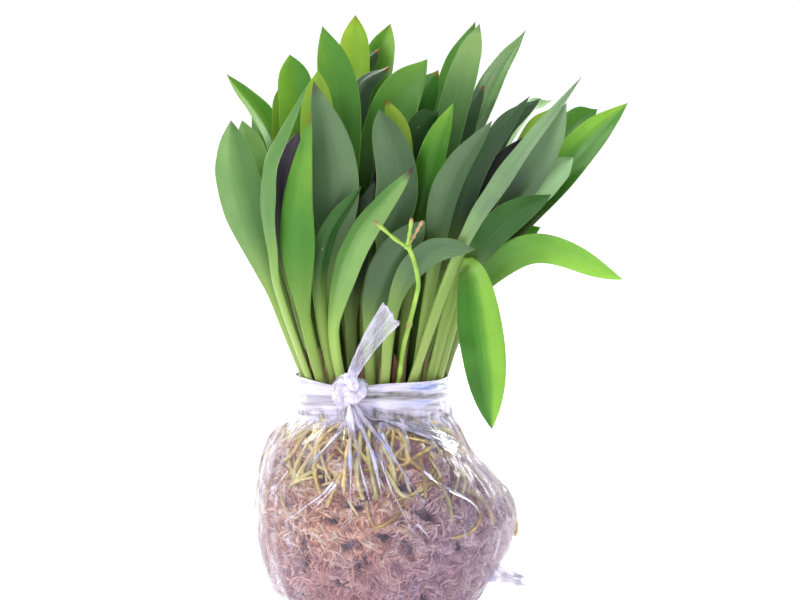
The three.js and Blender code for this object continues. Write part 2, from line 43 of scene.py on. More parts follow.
# Lengths below are in millimetres, +Z up, -Y towards the viewer, as in the solids.
VIEW_DISTANCE = 2200
VIEW_TILT = math.radians(4)
VIEW_HEIGHT = 137
VIEW_CENTRE = (5.5, 0, 143.5)
VIEW_WIDE = 368

CROWN_X = -7.4
CROWN_TOP = 97
CROWN_SQUARENESS = 2.9
CROWN_RIM = 3.3
FEET_WIDE = 28
FEET_DEEP = 23.5
LAYER_SPREAD = 0.38
FOOT_SPACING = 5.2
FOOT_SINK = 4
FEET_SPREAD = 0.73
PUSHES = 300

FOOT_HALF_WIDTH = 2.1
STEM_HALF_WIDTH = 2.9
BLADE_START = 0.3
BLADE_RISE = 1.3

BALL_UP = [1.2, 5.5, 16, 30, 44, 57, 67, 77, 84, 88]
BALL_LEFT = [34, 44.5, 54, 57, 57.5, 57, 55.5, 52, 46.5, 40.5]
BALL_RIGHT = [33, 40, 47, 55, 57.5, 49.5, 39.5, 32.5, 29, 26.5]
BALL_DEEP = [33, 42, 50, 54, 55, 52.5, 48, 42, 35.5, 30]

FILM_LOW_GAP = 1.0
FILM_HIGH_GAP = 3.6
NECK_WIDE = 35.2
NECK_DEEP = 33
NECK_TOP = 109
KNOT_SEEN = (-18, 102, -38)

# Each leaf: its node, then as in the solids where its stem stands, the stem's end, the blade's middle
# and its tip as seen (right, up), its layer from -1 in front to 1 at the back, the blade's width, its
# turn and its fold. Then how it looks: its tone, how light it is, which is partly painted light, how
# brown its tip is, and its painted light, from -1 for painted shade to 1 for painted light: all over,
# more towards its tip, and more to the right. A form says where the blade is widest, as a share of its
# length, and how round its end is.
USUAL_BLADE = (0.52, 2.6)
Leaf = namedtuple(
    "Leaf",
    "name foot neck middle tip layer width turn fold tone light brown glow form depths slot",
    defaults=((0, 0, 0), USUAL_BLADE, None, None),
)
LEAVES = [
    Leaf("arching_front", -1, (3, 141), (19, 164), (40, 167), -1, 11, 205, 12,
         "grey", 1, 0.2, (0.05, 0.1, 0.15), (0.5, 3)),
    Leaf("purple_tip_front", -23, (-25, 133), (-15, 171), (12, 205), -0.96, 12.5, 150, 20,
         "green", 1.05, 1, (0.25, 0, 0.25), (0.5, 2.6)),
    Leaf("front_left_light", -32, (-39, 140), (-41.3, 187), (-35, 230), -0.92, 13.5, 165, 16,
         "bright", 0.9, 0.7, (-0.1, 0.5, 0.1), (0.37, 1.7)),
    Leaf("front_middle_grey", -7, (-8, 132), (2, 161), (17, 180), -0.86, 15.5, 190, 10,
         "grey", 0.9, 0, (-0.1, 0.15, 0.1), (0.5, 3.2)),
    Leaf("long_right", 12, (31, 161), (56, 203), (89, 246), -0.9, 8.8, 215, 16,
         "grey", 1, 0.3, (0.45, 0.1, -0.1), (0.5, 1.9)),
    Leaf("folded_left", -39, (-52, 155), (-57, 201.5), (-37, 242), -0.84, 13, 118, 22,
         "green", 0.95, 0, (0, 0.2, -0.3), (0.5, 2.2), slot="leaf_bright"),
    Leaf("front_curved_dark", -28, (-31, 141), (-28, 172), (-12, 196), -0.8, 7.5, 195, 20,
         "deep", 0.9, 0, (-0.1, 0.3, -0.2)),
    Leaf("hanging_right", 22, (35, 158), (43, 127), (48, 84), -0.78, 19, 0, 16,
         "bright", 1.1, 0, (0.1, 0.1, 0.6), (0.55, 2.8), depths=(-38, -47, -48)),
    Leaf("grey_right_inner", 18, (21, 158), (28, 196), (48, 226), -0.76, 12, 200, 12,
         "grey", 0.85, 0, (0, 0.15, -0.15), (0.5, 2.4)),
    Leaf("tall_left_centre", -27, (-29, 149), (-25, 201), (-34, 244), -0.66, 19.5, 175, 12,
         "grey", 0.95, 0.6, (0.1, 0.05, 0.25), (0.45, 2.3)),
    Leaf("big_left", -40, (-53, 148), (-68.5, 194), (-72, 226), -0.6, 20.5, 155, 18,
         "green", 0.95, 0.2, (0, 0.05, -0.4), (0.5, 2.6)),
    Leaf("centre_grey", -6, (-1, 158), (5, 199), (-4, 231), -0.62, 17, 185, 12,
         "grey", 0.85, 0, (-0.05, 0.1, -0.15), (0.45, 4.2)),
    Leaf("right_yellow_edge", 21, (41, 161), (70, 206), (82, 234), -0.5, 12, 195, 14,
         "grey", 0.95, 0, (-0.45, 0.9, 0.25)),
    Leaf("dark_right", 19, (28, 160), (39.5, 203), (65, 237), -0.5, 11, 190, 14,
         "dark", 1.1, 0, (-0.1, 0.1, -0.2), (0.5, 2.3)),
    Leaf("round_centre", -11, (-9, 148), (3, 176), (1, 191), -0.52, 13, 180, 12,
         "dark", 0.9, 0, (-0.1, 0.3, 0.1), (0.55, 4)),
    Leaf("bright_tip_centre", 8, (12, 167), (20, 209), (30, 234), -0.48, 11, 170, 14,
         "bright", 1, 0, (-0.5, 1.1, -0.1), (0.5, 2)),
    Leaf("shaded_centre", -17, (-17, 137), (-14, 169), (-6, 198), -0.59, 12, 185, 14,
         "dark", 0.7, 0, (-0.5, 0.2, 0)),
    Leaf("dark_right_low", 24, (35.5, 151), (51.5, 177), (75, 192), -0.62, 14, 195, 16,
         "deep", 1, 0, (0, 0.1, -0.1), depths=(-32, -38, -41)),
    Leaf("drooping_right", 22, (33, 139), (66, 167), (108, 153), -0.24, 13, 20, 10,
         "bright", 1.25, 0, (0.5, 0.15, -0.1), (0.52, 3.5), depths=(-12, -17, -26)),
    Leaf("yellow_behind_left", -28, (-30, 158), (-32, 222), (-32, 249), -0.42, 14, 180, 14,
         "yellow", 0.9, 0, (-0.1, 0.4, 0.1)),
    Leaf("brown_tip_centre", -3, (2, 158), (5.5, 213), (-1, 236), -0.42, 9.5, 175, 16,
         "yellow", 0.8, 1, (-0.3, 0.5, 0.4)),
    Leaf("purple_left", -35, (-43, 148), (-47.5, 192), (-41, 221), -0.35, 15, 170, 14,
         "purple", 1, 0, (-0.6, 1.1, 0.1)),
    Leaf("black_right", 20, (31, 163), (47, 194), (62, 218), -0.36, 15, 190, 12,
         "purple", 0.8, 0, (-0.7, 0, 0.1)),
    Leaf("pale_right", 27, (45, 167), (72, 196), (85, 209), -0.2, 13, 200, 18,
         "grey", 1.3, 0, (0.6, 0.3, 0.5), (0.55, 3)),
    Leaf("ribbed_dark_centre", -9, (-11, 162), (-5.5, 203), (-3.5, 227), -0.4, 13, 125, 20,
         "purple", 0.9, 0, (-0.4, 0.2, 0.1)),
    Leaf("tallest_left", -23, (-24, 160), (-23, 233), (-30, 269), -0.24, 18.5, 20, 14,
         "bright", 1.05, 0, (0.1, 0.2, -0.15), (0.45, 2.8)),
    Leaf("behind_dark_right", 19, (30, 158), (49.5, 216), (70, 236), -0.24, 9.5, 190, 14,
         "dark", 1, 0, (0.1, 0.2, -0.1)),
    Leaf("left_behind_big", -39, (-52, 162), (-62, 204), (-67, 226), -0.23, 14, 160, 14,
         "green", 1, 0, (0, 0.5, 0.2), (0.5, 3)),
    Leaf("big_centre_bright", -11, (-12, 168), (2, 229), (18, 254), -0.12, 20, -10, 14,
         "bright", 0.95, 0, (-0.35, 0.7, -0.15), (0.5, 2.2)),
    Leaf("dark_sliver_centre", 3, (7, 160), (14, 217), (23, 230), -0.22, 12, 190, 12,
         "deep", 0.8, 0, (-0.1, 0.3, 0)),
    Leaf("spotted_upper_right", 6, (14, 168), (32, 240), (42, 270), -0.1, 13, 15, 12,
         "green", 1.1, 0.3, (-0.6, 1.8, 0), (0.45, 3.2), slot="leaf_bright"),
    Leaf("far_right_big", 24, (46, 160), (87, 212), (110, 234), -0.01, 15.5, -20, 16,
         "bright", 1.15, 0.1, (-0.1, 0.6, -0.35), (0.42, 2.1)),
    Leaf("bright_sliver_right", 22, (37, 160), (65.5, 214), (74, 231), -0.06, 13, 10, 14, "yellow", 1, 0),
    Leaf("upper_left_round", -31, (-37, 158), (-42, 229), (-45, 256), -0.08, 15.5, 10, 14,
         "bright", 1.05, 0, (0.3, 0.2, -0.3), (0.5, 4.4)),
    Leaf("bright_low_right", 20, (35, 147), (56, 169), (70, 177), 0.09, 11, -30, 14,
         "bright", 1.2, 0, (0.2, 0.1, 0.1)),
    Leaf("brown_tip_upper", -15, (-16, 165), (-15, 233), (1, 251), 0.04, 10, 150, 16,
         "dark", 0.9, 1, (0.1, 0.3, 0), (0.5, 2.2)),
    Leaf("dark_tip_upper", -5, (0, 165), (14, 230), (23, 249), 0.08, 12, 175, 18,
         "deep", 1, 0.6, (0.2, 0.4, 0)),
    Leaf("upper_right_behind", 3, (12, 168), (27, 240), (40, 271), 0.2, 12, 20, 14,
         "bright", 1.1, 0.2, (-0.3, 0.4, -0.2), (0.5, 2.4)),
    Leaf("yellow_sliver_left", -34, (-41, 158), (-48, 222), (-47, 246), 0.14, 11, 30, 12,
         "yellow", 0.95, 0),
    Leaf("far_left_upper", -36, (-45, 165), (-53, 216), (-74, 247), 0.2, 14, 45, 20,
         "bright", 1.1, 0.1, (0.3, 0.3, -0.4)),
    Leaf("right_far_behind", 27, (43, 164), (81, 218), (96, 231), 0.22, 13, -20, 14,
         "bright", 0.95, 0, (-0.1, 0.2, -0.1)),
    Leaf("top_yellow", -20, (-20, 160), (-17, 242), (-15, 274), 0.26, 14, 5, 14,
         "yellow", 1.15, 0.3, (0.1, 0.3, -0.3), (0.5, 4)),
    Leaf("small_dark_top", -17, (-18, 170), (-13, 241), (-4, 259), 0.36, 9, 160, 16,
         "dark", 0.9, 1, (0.2, 0.4, 0)),
    Leaf("pale_right_upper", 20, (33, 165), (60, 224), (75, 235), 0.3, 12, -60, 16,
         "grey", 1.3, 0, (0.8, 0.2, 0)),
    Leaf("top_pointed", -17, (-17, 160), (-7, 240), (1, 270), 0.46, 14.5, -15, 18,
         "bright", 1.05, 0.2, (-0.1, 0.7, 0.2), (0.55, 2.8)),
    Leaf("leaning_upper_right", 10, (20, 168), (45, 236), (63, 267), 0.3, 11.5, -35, 14,
         "green", 1.05, 0.2, (-0.3, 0.7, -0.15), (0.5, 2), slot="leaf_bright"),
    Leaf("small_dark_right", 12, (23, 165), (35, 224), (44, 242), 0.14, 9, 170, 14,
         "dark", 0.9, 0.8, (0.2, 0.3, 0)),
    Leaf("small_centre_left", -18, (-20, 157), (-15.5, 187), (-16, 204), -0.4, 9, 180, 14,
         "deep", 0.8, 0, (-0.1, 0.3, 0)),
    Leaf("dark_low_left", -37, (-42, 134), (-48, 160), (-54, 176), -0.1, 12, 165, 14, "dark", 1, 0),
    Leaf("back_left", -26, (-40, 165), (-54, 205), (-62, 232), 0.5, 15, 40, 14, "bright", 1, 0.2),
    Leaf("back_left_low", -20, (-30, 150), (-44, 186), (-60, 208), 0.72, 15, 30, 14, "grey", 1, 0),
    Leaf("back_centre", -10, (-16, 160), (-22, 208), (-26, 240), 0.78, 16, 10, 12, "bright", 1, 0.2),
    Leaf("back_centre_tall", -2, (2, 165), (10, 214), (16, 250), 0.66, 16, -10, 12, "bright", 1, 0),
    Leaf("back_outer", -8, (-4, 142), (2, 178), (6, 206), 1, 16, 0, 14, "grey", 1, 0.4),
    Leaf("back_right", 8, (18, 160), (32, 204), (42, 236), 0.84, 15, -20, 14, "bright", 1, 0),
    Leaf("back_right_low", 14, (28, 150), (48, 184), (66, 204), 0.6, 15, -35, 14, "grey", 1, 0.3),
]


def through(values, at):
    """A smooth value through a list of numbers or points; at runs from 0 to 1."""
    values = np.asarray(values, float)
    at = np.asarray(at, float)
    scaled = np.clip(at, 0, 1) * (len(values) - 1)
    i = np.minimum(scaled.astype(int), len(values) - 2)
    t = scaled - i
    if values.ndim == 2:
        t = t[..., None]
    ends = np.concatenate([[2 * values[0] - values[1]], values, [2 * values[-1] - values[-2]]])
    a, b, c, d = ends[i], ends[i + 1], ends[i + 2], ends[i + 3]
    return b + 0.5 * t * (c - a + t * (2 * a - 5 * b + 4 * c - d + t * (3 * (b - c) + d - a)))


def mix(a, b, t):
    return a + (b - a) * t


def step(low, high, x):
    t = np.clip((np.asarray(x, float) - low) / (high - low), 0, 1)
    return t * t * (3 - 2 * t)


def unit(v):
    return v / np.maximum(np.linalg.norm(v, axis=-1, keepdims=True), 1e-9)


def seen(right, up, depth):
    """The real place of a point that is seen so far right and up, at a depth."""
    right, up, depth = np.broadcast_arrays(*(np.asarray(v, float) for v in (right, up, depth)))
    nearness = 1 + depth / VIEW_DISTANCE
    rise = (up - VIEW_HEIGHT) * nearness / math.cos(VIEW_TILT)
    height = VIEW_HEIGHT + rise - depth * math.tan(VIEW_TILT)
    return np.stack([right * nearness, depth, height], axis=-1)


def crown_rim(turns, wide, deep):
    """A place on the neck's outline, x and y."""
    c, s = np.cos(2 * np.pi * turns), np.sin(2 * np.pi * turns)
    n = CROWN_SQUARENESS
    reach = (np.abs(c) ** n + np.abs(s) ** n) ** (-1 / n)
    return CROWN_X + wide * c * reach, deep * s * reach


def ball_point(turns, rise, out):
    """A place on the ball: turns is 0 to the right and a quarter at the back, rise runs from the
    flat spot's rim to the shoulder, and out is how far off the surface it lies."""
    turns, rise, out = np.broadcast_arrays(*(np.asarray(v, float) for v in (turns, rise, out)))
    angle = 2 * np.pi * turns

    def reach_at(at):
        side = np.where(np.cos(angle) > 0, through(BALL_RIGHT, at), through(BALL_LEFT, at))
        return mix(through(BALL_DEEP, at), side, np.cos(angle) ** 2)

    small = 0.01
    run = reach_at(rise + small) - reach_at(rise - small)
    climb = through(BALL_UP, rise + small) - through(BALL_UP, rise - small)
    slope = np.hypot(run, climb)
    reach = reach_at(rise) + out * climb / slope
    up = through(BALL_UP, rise) - out * run / slope
    return np.stack([reach * np.cos(angle), reach * np.sin(angle), up], axis=-1)


def layer_depth(layer, up):
    return layer * (FEET_DEEP + LAYER_SPREAD * (up - CROWN_TOP))


# Meshes


def make_piece(name, points, faces, material, replaces=(), marks=None):
    """A piece from points in millimetres and arrays of faces, one array for each number of corners.
    marks are numbers for each point that its material reads by name."""
    mesh = bpy.data.meshes.new(name)
    points = np.asarray(points, float).reshape(-1, 3)
    faces = [np.asarray(f, np.int32) for f in faces if len(f)]
    mesh.vertices.add(len(points))
    mesh.vertices.foreach_set("co", (points * MM).ravel())
    corners = np.concatenate([f.ravel() for f in faces])
    sizes = np.concatenate([np.full(len(f), f.shape[1]) for f in faces])
    starts = np.concatenate([[0], np.cumsum(sizes)[:-1]])
    mesh.loops.add(len(corners))
    mesh.loops.foreach_set("vertex_index", corners.astype(np.int32))
    mesh.polygons.add(len(sizes))
    mesh.polygons.foreach_set("loop_start", starts.astype(np.int32))
    mesh.polygons.foreach_set("use_smooth", np.ones(len(sizes), bool))
    mesh.update(calc_edges=True)
    for key, values in (marks or {}).items():
        made = mesh.attributes.new(key, "FLOAT", "POINT")
        made.data.foreach_set("value", np.asarray(values, np.float32).ravel())
    mesh.materials.append(material)
    piece = bpy.data.objects.new(name, mesh)
    bpy.context.scene.collection.objects.link(piece)
    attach(piece, "root")
    if replaces:
        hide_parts(*replaces)
    return piece


def grid_faces(rows, columns, closed=False, first=0):
    """Quads over rows of points; closed joins each row's end to its start."""
    i = np.arange(rows - 1)[:, None]
    j = np.arange(columns if closed else columns - 1)[None, :]
    k = (j + 1) % columns
    quad = np.stack([i * columns + j, i * columns + k, (i + 1) * columns + k, (i + 1) * columns + j], -1)
    return quad.reshape(-1, 4) + first


def cap_faces(rows, columns):
    """The two flat ends of a loft of closed rows."""
    ring = np.arange(columns)
    return np.stack([ring[::-1], ring + (rows - 1) * columns])


def fan_faces(centre, ring):
    """Triangles from one point to a closed ring of points."""
    return np.stack([np.full(len(ring), centre), ring, np.roll(ring, -1)], -1)


def tubes(paths, radii, normals, sides, flat=1.0):
    """Many cords at once. paths is (cords, steps, 3), radii (cords, steps), normals like paths."""
    count, steps, _ = paths.shape
    along = unit(np.gradient(paths, axis=1))
    side = unit(np.cross(along, normals))
    up = np.cross(side, along)
    turn = 2 * np.pi * np.arange(sides) / sides
    ring = (
        side[:, :, None] * np.cos(turn)[None, None, :, None]
        + up[:, :, None] * np.sin(turn)[None, None, :, None] * flat
    )
    points = paths[:, :, None] + ring * radii[:, :, None, None]
    quads = grid_faces(steps, sides, closed=True)
    caps = cap_faces(steps, sides)
    shift = (np.arange(count) * steps * sides)[:, None, None]
    faces = [(quads[None] + shift).reshape(-1, 4), (caps[None] + shift).reshape(-1, sides)]
    return points.reshape(-1, 3), faces


def join_shells(parts):
    """Points, face arrays and marks of several shells as one."""
    points, by_size, marks, first = [], {}, {}, 0
    for part_points, part_faces, part_marks in parts:
        for f in part_faces:
            f = np.asarray(f)
            if len(f):
                by_size.setdefault(f.shape[1], []).append(f + first)
        for key, values in part_marks.items():
            marks.setdefault(key, []).append(np.broadcast_to(values, len(part_points)))
        points.append(part_points)
        first += len(part_points)
    faces = [np.concatenate(f) for f in by_size.values()]
    return np.concatenate(points), faces, {k: np.concatenate(v) for k, v in marks.items()}


# Materials


def add_node(tree, kind, inputs=None, **settings):
    made = tree.nodes.new("ShaderNode" + kind)
    for key, value in settings.items():
        setattr(made, key, value)
    for key, value in (inputs or {}).items():
        put(tree, made.inputs[key], value)
    return made


def put(tree, socket, value):
    if isinstance(value, bpy.types.NodeSocket):
        tree.links.new(value, socket)
    elif hasattr(value, "__len__") and len(value) == 3 and socket.type == "RGBA":
        socket.default_value = (*value, 1)
    else:
        socket.default_value = value


class Look:
    """A material in the making: short names for the nodes that it uses."""

    def __init__(self, name, **shader):
        self.material = bpy.data.materials.new(name)
        self.material.use_nodes = True
        self.tree = self.material.node_tree
        self.shader = self.tree.nodes["Principled BSDF"]
        self.set(**shader)

    def set(self, **values):
        for key, value in values.items():
            put(self.tree, self.shader.inputs[key.replace("_", " ")], value)

    def mark(self, name):
        return add_node(self.tree, "Attribute", attribute_name=name).outputs["Fac"]

    def place(self):
        return add_node(self.tree, "TexCoord").outputs["Object"]

    def math(self, operation, *values, clamp=False):
        inputs = dict(enumerate(values))
        return add_node(self.tree, "Math", inputs, operation=operation, use_clamp=clamp).outputs[0]

    def span(self, value, low, high, to_low=0.0, to_high=1.0):
        """value from low..high to to_low..to_high, smoothly and held at the ends"""
        inputs = {"Value": value, 1: low, 2: high, 3: to_low, 4: to_high}
        return add_node(self.tree, "MapRange", inputs, interpolation_type="SMOOTHSTEP").outputs[0]

    def noise(self, scale, detail=3, rough=0.55, vector=None, stretch=None):
        vector = vector or self.place()
        if stretch:
            vector = add_node(self.tree, "Mapping", {"Vector": vector, "Scale": stretch}).outputs[0]
        inputs = {"Vector": vector, "Scale": scale, "Detail": detail, "Roughness": rough}
        return add_node(self.tree, "TexNoise", inputs).outputs["Fac"]

    def cells(self, scale):
        inputs = {"Vector": self.place(), "Scale": scale}
        return add_node(self.tree, "TexVoronoi", inputs).outputs["Distance"]

    def blend(self, amount, a, b, kind="MIX"):
        made = add_node(self.tree, "Mix", data_type="RGBA", blend_type=kind)
        for at, value in ((0, amount), (6, a), (7, b)):
            put(self.tree, made.inputs[at], value)
        return made.outputs[2]

    def stain(self, colour, value, span, over):
        """Colour, with another laid over it as far as value says."""
        return self.blend(self.span(value, *span), colour, shade(*over))

    def ramp(self, amount, *stops):
        made = add_node(self.tree, "ValToRGB", {"Fac": amount})
        line = made.color_ramp
        while len(line.elements) < len(stops):
            line.elements.new(0.5)
        for element, (at, colour) in zip(line.elements, stops):
            element.position = at
            element.color = (*shade(*colour), 1)
        return made.outputs["Color"]

    def bump(self, height, strength=0.3, distance=0.0005):
        inputs = {"Height": height, "Strength": strength, "Distance": distance}
        self.set(Normal=add_node(self.tree, "Bump", inputs).outputs[0])

    def pair(self, *values):
        return add_node(self.tree, "CombineXYZ", dict(enumerate(values))).outputs[0]


def shade(red, green, blue):
    """A colour given as it looks on a screen, 0 to 255, as the light that it is."""
    return tuple(
        v / 12.92 if v <= 0.04045 else ((v + 0.055) / 1.055) ** 2.4
        for v in (red / 255, green / 255, blue / 255)
    )


STEM_COLOUR = shade(150, 184, 84)
# Each tone: the face that shows, a lighter copy of it for painted light, a darker copy for painted shade,
# and the other face
LEAF_TONES = {
    "bright": (shade(80, 146, 46), shade(150, 206, 70), shade(26, 72, 26), shade(96, 126, 86)),
    "grey": (shade(84, 116, 78), shade(132, 168, 118), shade(32, 48, 38), shade(80, 146, 48)),
    "dark": (shade(46, 76, 46), shade(96, 126, 92), shade(12, 20, 24), shade(60, 110, 42)),
    "green": (shade(90, 136, 68), shade(136, 174, 98), shade(50, 96, 34), shade(88, 148, 46)),
    "deep": (shade(38, 88, 24), shade(80, 142, 50), shade(14, 40, 16), shade(90, 124, 84)),
    "yellow": (shade(150, 190, 58), shade(204, 224, 92), shade(84, 116, 36), shade(130, 170, 70)),
    "purple": (shade(36, 22, 50), shade(124, 108, 122), shade(8, 4, 22), shade(60, 96, 50)),
}
DEAD_PURPLE = ((34, 18, 36), (70, 34, 44))
DEAD_BROWN = ((120, 62, 40), (196, 130, 50))


def leaf_look(tone, seen_side):
    """seen_side is 1 where the leaf's upper face shows in front, and 0 where its underside does."""
    front, painted_lit_colour, shaded, back = LEAF_TONES[tone]
    look = Look(f"leaf_{tone}_{'upper' if seen_side else 'under'}")
    along, across, face, glow = (look.mark(m) for m in ("along", "across", "face", "glow"))
    light, brown = look.mark("light"), look.mark("brown")
    at = look.pair(look.math("MULTIPLY", across, 5.0), look.math("MULTIPLY", along, 1.2), look.mark("own"))
    veins = look.noise(5.0, 3, 0.6, at)
    clouds = look.noise(36.0, 4, 0.6)
    shown = face if seen_side else look.math("SUBTRACT", 1.0, face)
    # Painted light and shade: the colour runs towards a lit copy of the tone where the glow mark is high and
    # towards a shaded copy where it is low, with a little random cloud in it
    more = look.math("ADD", glow, look.span(clouds, 0.25, 0.75, -0.16, 0.16))
    tint = look.blend(look.span(more, 0.0, 1.0, 0, 0.9), front, painted_lit_colour)
    tint = look.blend(look.span(more, -1.0, 0.0, 0.92, 0), tint, shaded)
    colour = look.blend(shown, back, tint)
    stem = look.blend(look.span(along, 0.05, 0.3, 0.35, 0), STEM_COLOUR, shade(190, 196, 130))
    colour = look.blend(look.span(along, 0.2, 0.55, 0.9, 0), colour, stem)
    edge = look.math("ABSOLUTE", across)
    rib = look.span(edge, 0.0, 0.05, 0.16 if seen_side else 0.08, 0)
    colour = look.blend(rib, colour, shade(160, 196, 110))
    colour = look.stain(colour, edge, (0.95, 1.0, 0, 0.45), (180, 210, 120))
    tip = look.math("MULTIPLY", look.span(along, 0.93, 0.985), brown, clamp=True)
    dead = DEAD_PURPLE if tone in ("grey", "green") else DEAD_BROWN
    colour = look.blend(tip, colour, look.ramp(clouds, (0.4, dead[0]), (0.6, dead[1])))
    striped = look.math("MULTIPLY", look.span(veins, 0.3, 0.7, 0.94, 1.05), light)
    colour = look.blend(1.0, colour, look.pair(striped, striped, striped), "MULTIPLY")
    dots = look.span(look.cells(150.0), 0.04, 0.07, 0.6, 0)
    dots = look.math("MULTIPLY", dots, look.span(look.noise(22.0, 1), 0.5, 0.6))
    colour = look.blend(dots, colour, shade(200, 208, 180))
    spots = look.span(look.cells(52.0), 0.02, 0.045, 0.8, 0)
    spots = look.math("MULTIPLY", spots, look.span(look.noise(13.0, 1), 0.56, 0.62))
    colour = look.blend(spots, colour, shade(66, 44, 36))
    look.set(Base_Color=colour, Roughness=look.span(clouds, 0.3, 0.7, 0.34, 0.5))
    look.set(Specular_IOR_Level=0.5 if seen_side else 0.35)
    look.bump(look.math("ADD", veins, look.math("MULTIPLY", clouds, 0.8)), 0.16, 0.0004)
    through_it = look.blend(1.0, colour, (1.0, 1.0, 0.55), "MULTIPLY")
    through_it = look.blend(0.25, through_it, shade(190, 230, 40))
    see_through(look, through_it, {"bright": 0.3, "yellow": 0.35}.get(tone, 0.12))
    return look.material


def see_through(look, colour, share):
    """Light that falls on one face and glows through the other."""
    tree = look.tree
    thin = add_node(tree, "BsdfTranslucent", {"Color": colour})
    both = add_node(tree, "MixShader", {0: share, 1: look.shader.outputs[0], 2: thin.outputs[0]})
    tree.links.new(both.outputs[0], tree.nodes["Material Output"].inputs["Surface"])


# The moss, tan to the left and mauve to the right, from its darkest strands to its palest
STRAND_STOPS = (0.0, 0.25, 0.5, 0.75, 0.95)
STRAND_COLOURS = (
    ((176, 128, 106), (236, 180, 138), (250, 214, 176), (252, 228, 208), (255, 246, 226)),
    ((150, 114, 140), (212, 178, 196), (238, 210, 222), (246, 226, 236), (254, 240, 230)),
)
CORE_STOPS = (0.3, 0.5, 0.7)
CORE_COLOURS = (
    ((156, 112, 96), (226, 174, 140), (240, 202, 168)),
    ((136, 108, 114), (198, 168, 166), (222, 200, 188)),
)


def moss_look(name, loose):
    look = Look(name, Roughness=0.9, Specular_IOR_Level=0.2)
    side = add_node(look.tree, "SeparateXYZ", {"Vector": look.place()}).outputs
    patch = look.noise(30.0, 3, 0.65)
    fine = look.noise(240.0, 4, 0.7)
    if loose:
        own = look.mark("own")
        tan, mauve = (look.ramp(own, *zip(STRAND_STOPS, colours)) for colours in STRAND_COLOURS)
    else:
        tan, mauve = (look.ramp(patch, *zip(CORE_STOPS, colours)) for colours in CORE_COLOURS)
    right = look.math("ADD", side["X"], look.math("MULTIPLY", look.noise(16.0, 3), 0.07))
    colour = look.blend(look.span(right, 0.015, 0.07), tan, mauve)
    colour = look.stain(colour, side["Z"], (0.012, 0.055, 0.6, 0), (232, 192, 210))
    colour = look.stain(colour, patch, (0.55, 0.75, 0, 0.35), (238, 206, 160))
    colour = look.stain(colour, patch, (0.28, 0.42, 0.2, 0), (166, 120, 104))
    if loose:
        green = look.span(look.noise(19.0, 2), 0.6, 0.72, 0, 0.35)
        colour = look.blend(green, colour, shade(176, 166, 90))
    # Painted shade: the moss turns dark purple where it lies sunk in hollows and between clumps
    colour = look.stain(colour, look.mark("hollow"), (0.2, 0.95, 0, 0.9), (76, 46, 70))
    colour = look.stain(colour, fine, (0.3, 0.6, 0.14, 0), (150, 112, 96))
    # The moss glows faintly in a mauve colour: painted light
    look.set(Base_Color=colour, **MOSS_PAINTED_GLOW)
    look.bump(fine, 0.7, 0.0009)
    if loose:
        see_through(look, colour, 0.3)
    return look.material


def root_look():
    look = Look("root", Roughness=0.6, Specular_IOR_Level=0.3)
    own = look.mark("own")
    patch = look.noise(60.0, 3, 0.6)
    fine = look.noise(420.0, 3, 0.6)
    colour = look.ramp(
        own,
        (0.0, (176, 140, 100)),
        (0.25, (236, 204, 146)),
        (0.5, (240, 222, 162)),
        (0.75, (224, 220, 156)),
        (0.92, (244, 238, 196)),
    )
    colour = look.stain(colour, patch, (0.5, 0.75, 0, 0.65), (126, 88, 56))
    colour = look.stain(colour, patch, (0.25, 0.42, 0.5, 0), (172, 176, 92))
    colour = look.stain(colour, fine, (0.3, 0.65, 0.3, 0), (110, 84, 50))
    look.set(Base_Color=colour)
    look.bump(fine, 0.35, 0.0003)
    return look.material


def crown_look():
    look = Look("crown", Roughness=0.85, Specular_IOR_Level=0.2)
    fine = look.noise(160.0, 4, 0.65)
    patch = look.noise(38.0, 3)
    colour = look.ramp(patch, (0.35, (52, 34, 38)), (0.55, (96, 66, 54)), (0.75, (150, 120, 76)))
    colour = look.stain(colour, fine, (0.35, 0.7, 0.6, 0), (40, 26, 30))
    look.set(Base_Color=colour)
    look.bump(fine, 0.6, 0.0008)
    return look.material


def sheath_look():
    look = Look("sheath", Roughness=0.65, Specular_IOR_Level=0.25)
    along, across, own = look.mark("along"), look.mark("across"), look.mark("own")
    at = look.pair(look.math("MULTIPLY", across, 8.0), look.math("MULTIPLY", along, 2.0), own)
    veins = look.noise(4.0, 3, 0.6, at)
    colour = look.ramp(
        own,
        (0.0, (112, 72, 62)),
        (0.4, (178, 150, 108)),
        (0.7, (206, 196, 140)),
        (1.0, (96, 128, 56)),
    )
    dry = look.math("MULTIPLY", look.span(veins, 0.35, 0.65, 0.55, 0), look.span(own, 0.9, 1.0, 1, 0.2))
    colour = look.blend(dry, colour, shade(110, 70, 58))
    look.set(Base_Color=colour)
    look.bump(veins, 0.4, 0.0005)
    see_through(look, colour, 0.3)
    return look.material


def stalk_look():
    look = Look("stalk", Roughness=0.45, Specular_IOR_Level=0.4)
    dry = look.mark("dry")
    patch = look.noise(90.0, 3)
    colour = look.blend(look.span(patch, 0.35, 0.7), shade(128, 172, 60), shade(160, 196, 84))
    dead = look.ramp(patch, (0.35, (112, 74, 56)), (0.6, (186, 150, 112)))
    colour = look.blend(dry, colour, dead)
    look.set(Base_Color=colour)
    look.bump(look.noise(300.0, 3), 0.25, 0.0003)
    return look.material


FILM_COLOUR = shade(218, 213, 238)
# The blue of painted reflections on the film
FILM_PAINTED_REFLECTION_BLUE = shade(160, 178, 248)
# Painted glow: a faint emission on the film and on the moss, standing in for light that scatters inside them
FILM_PAINTED_GLOW = {"Emission_Color": (0.84, 0.82, 1.0, 1.0), "Emission_Strength": 0.07}
MOSS_PAINTED_GLOW = {"Emission_Color": (0.5, 0.33, 0.52, 1.0), "Emission_Strength": 0.12}


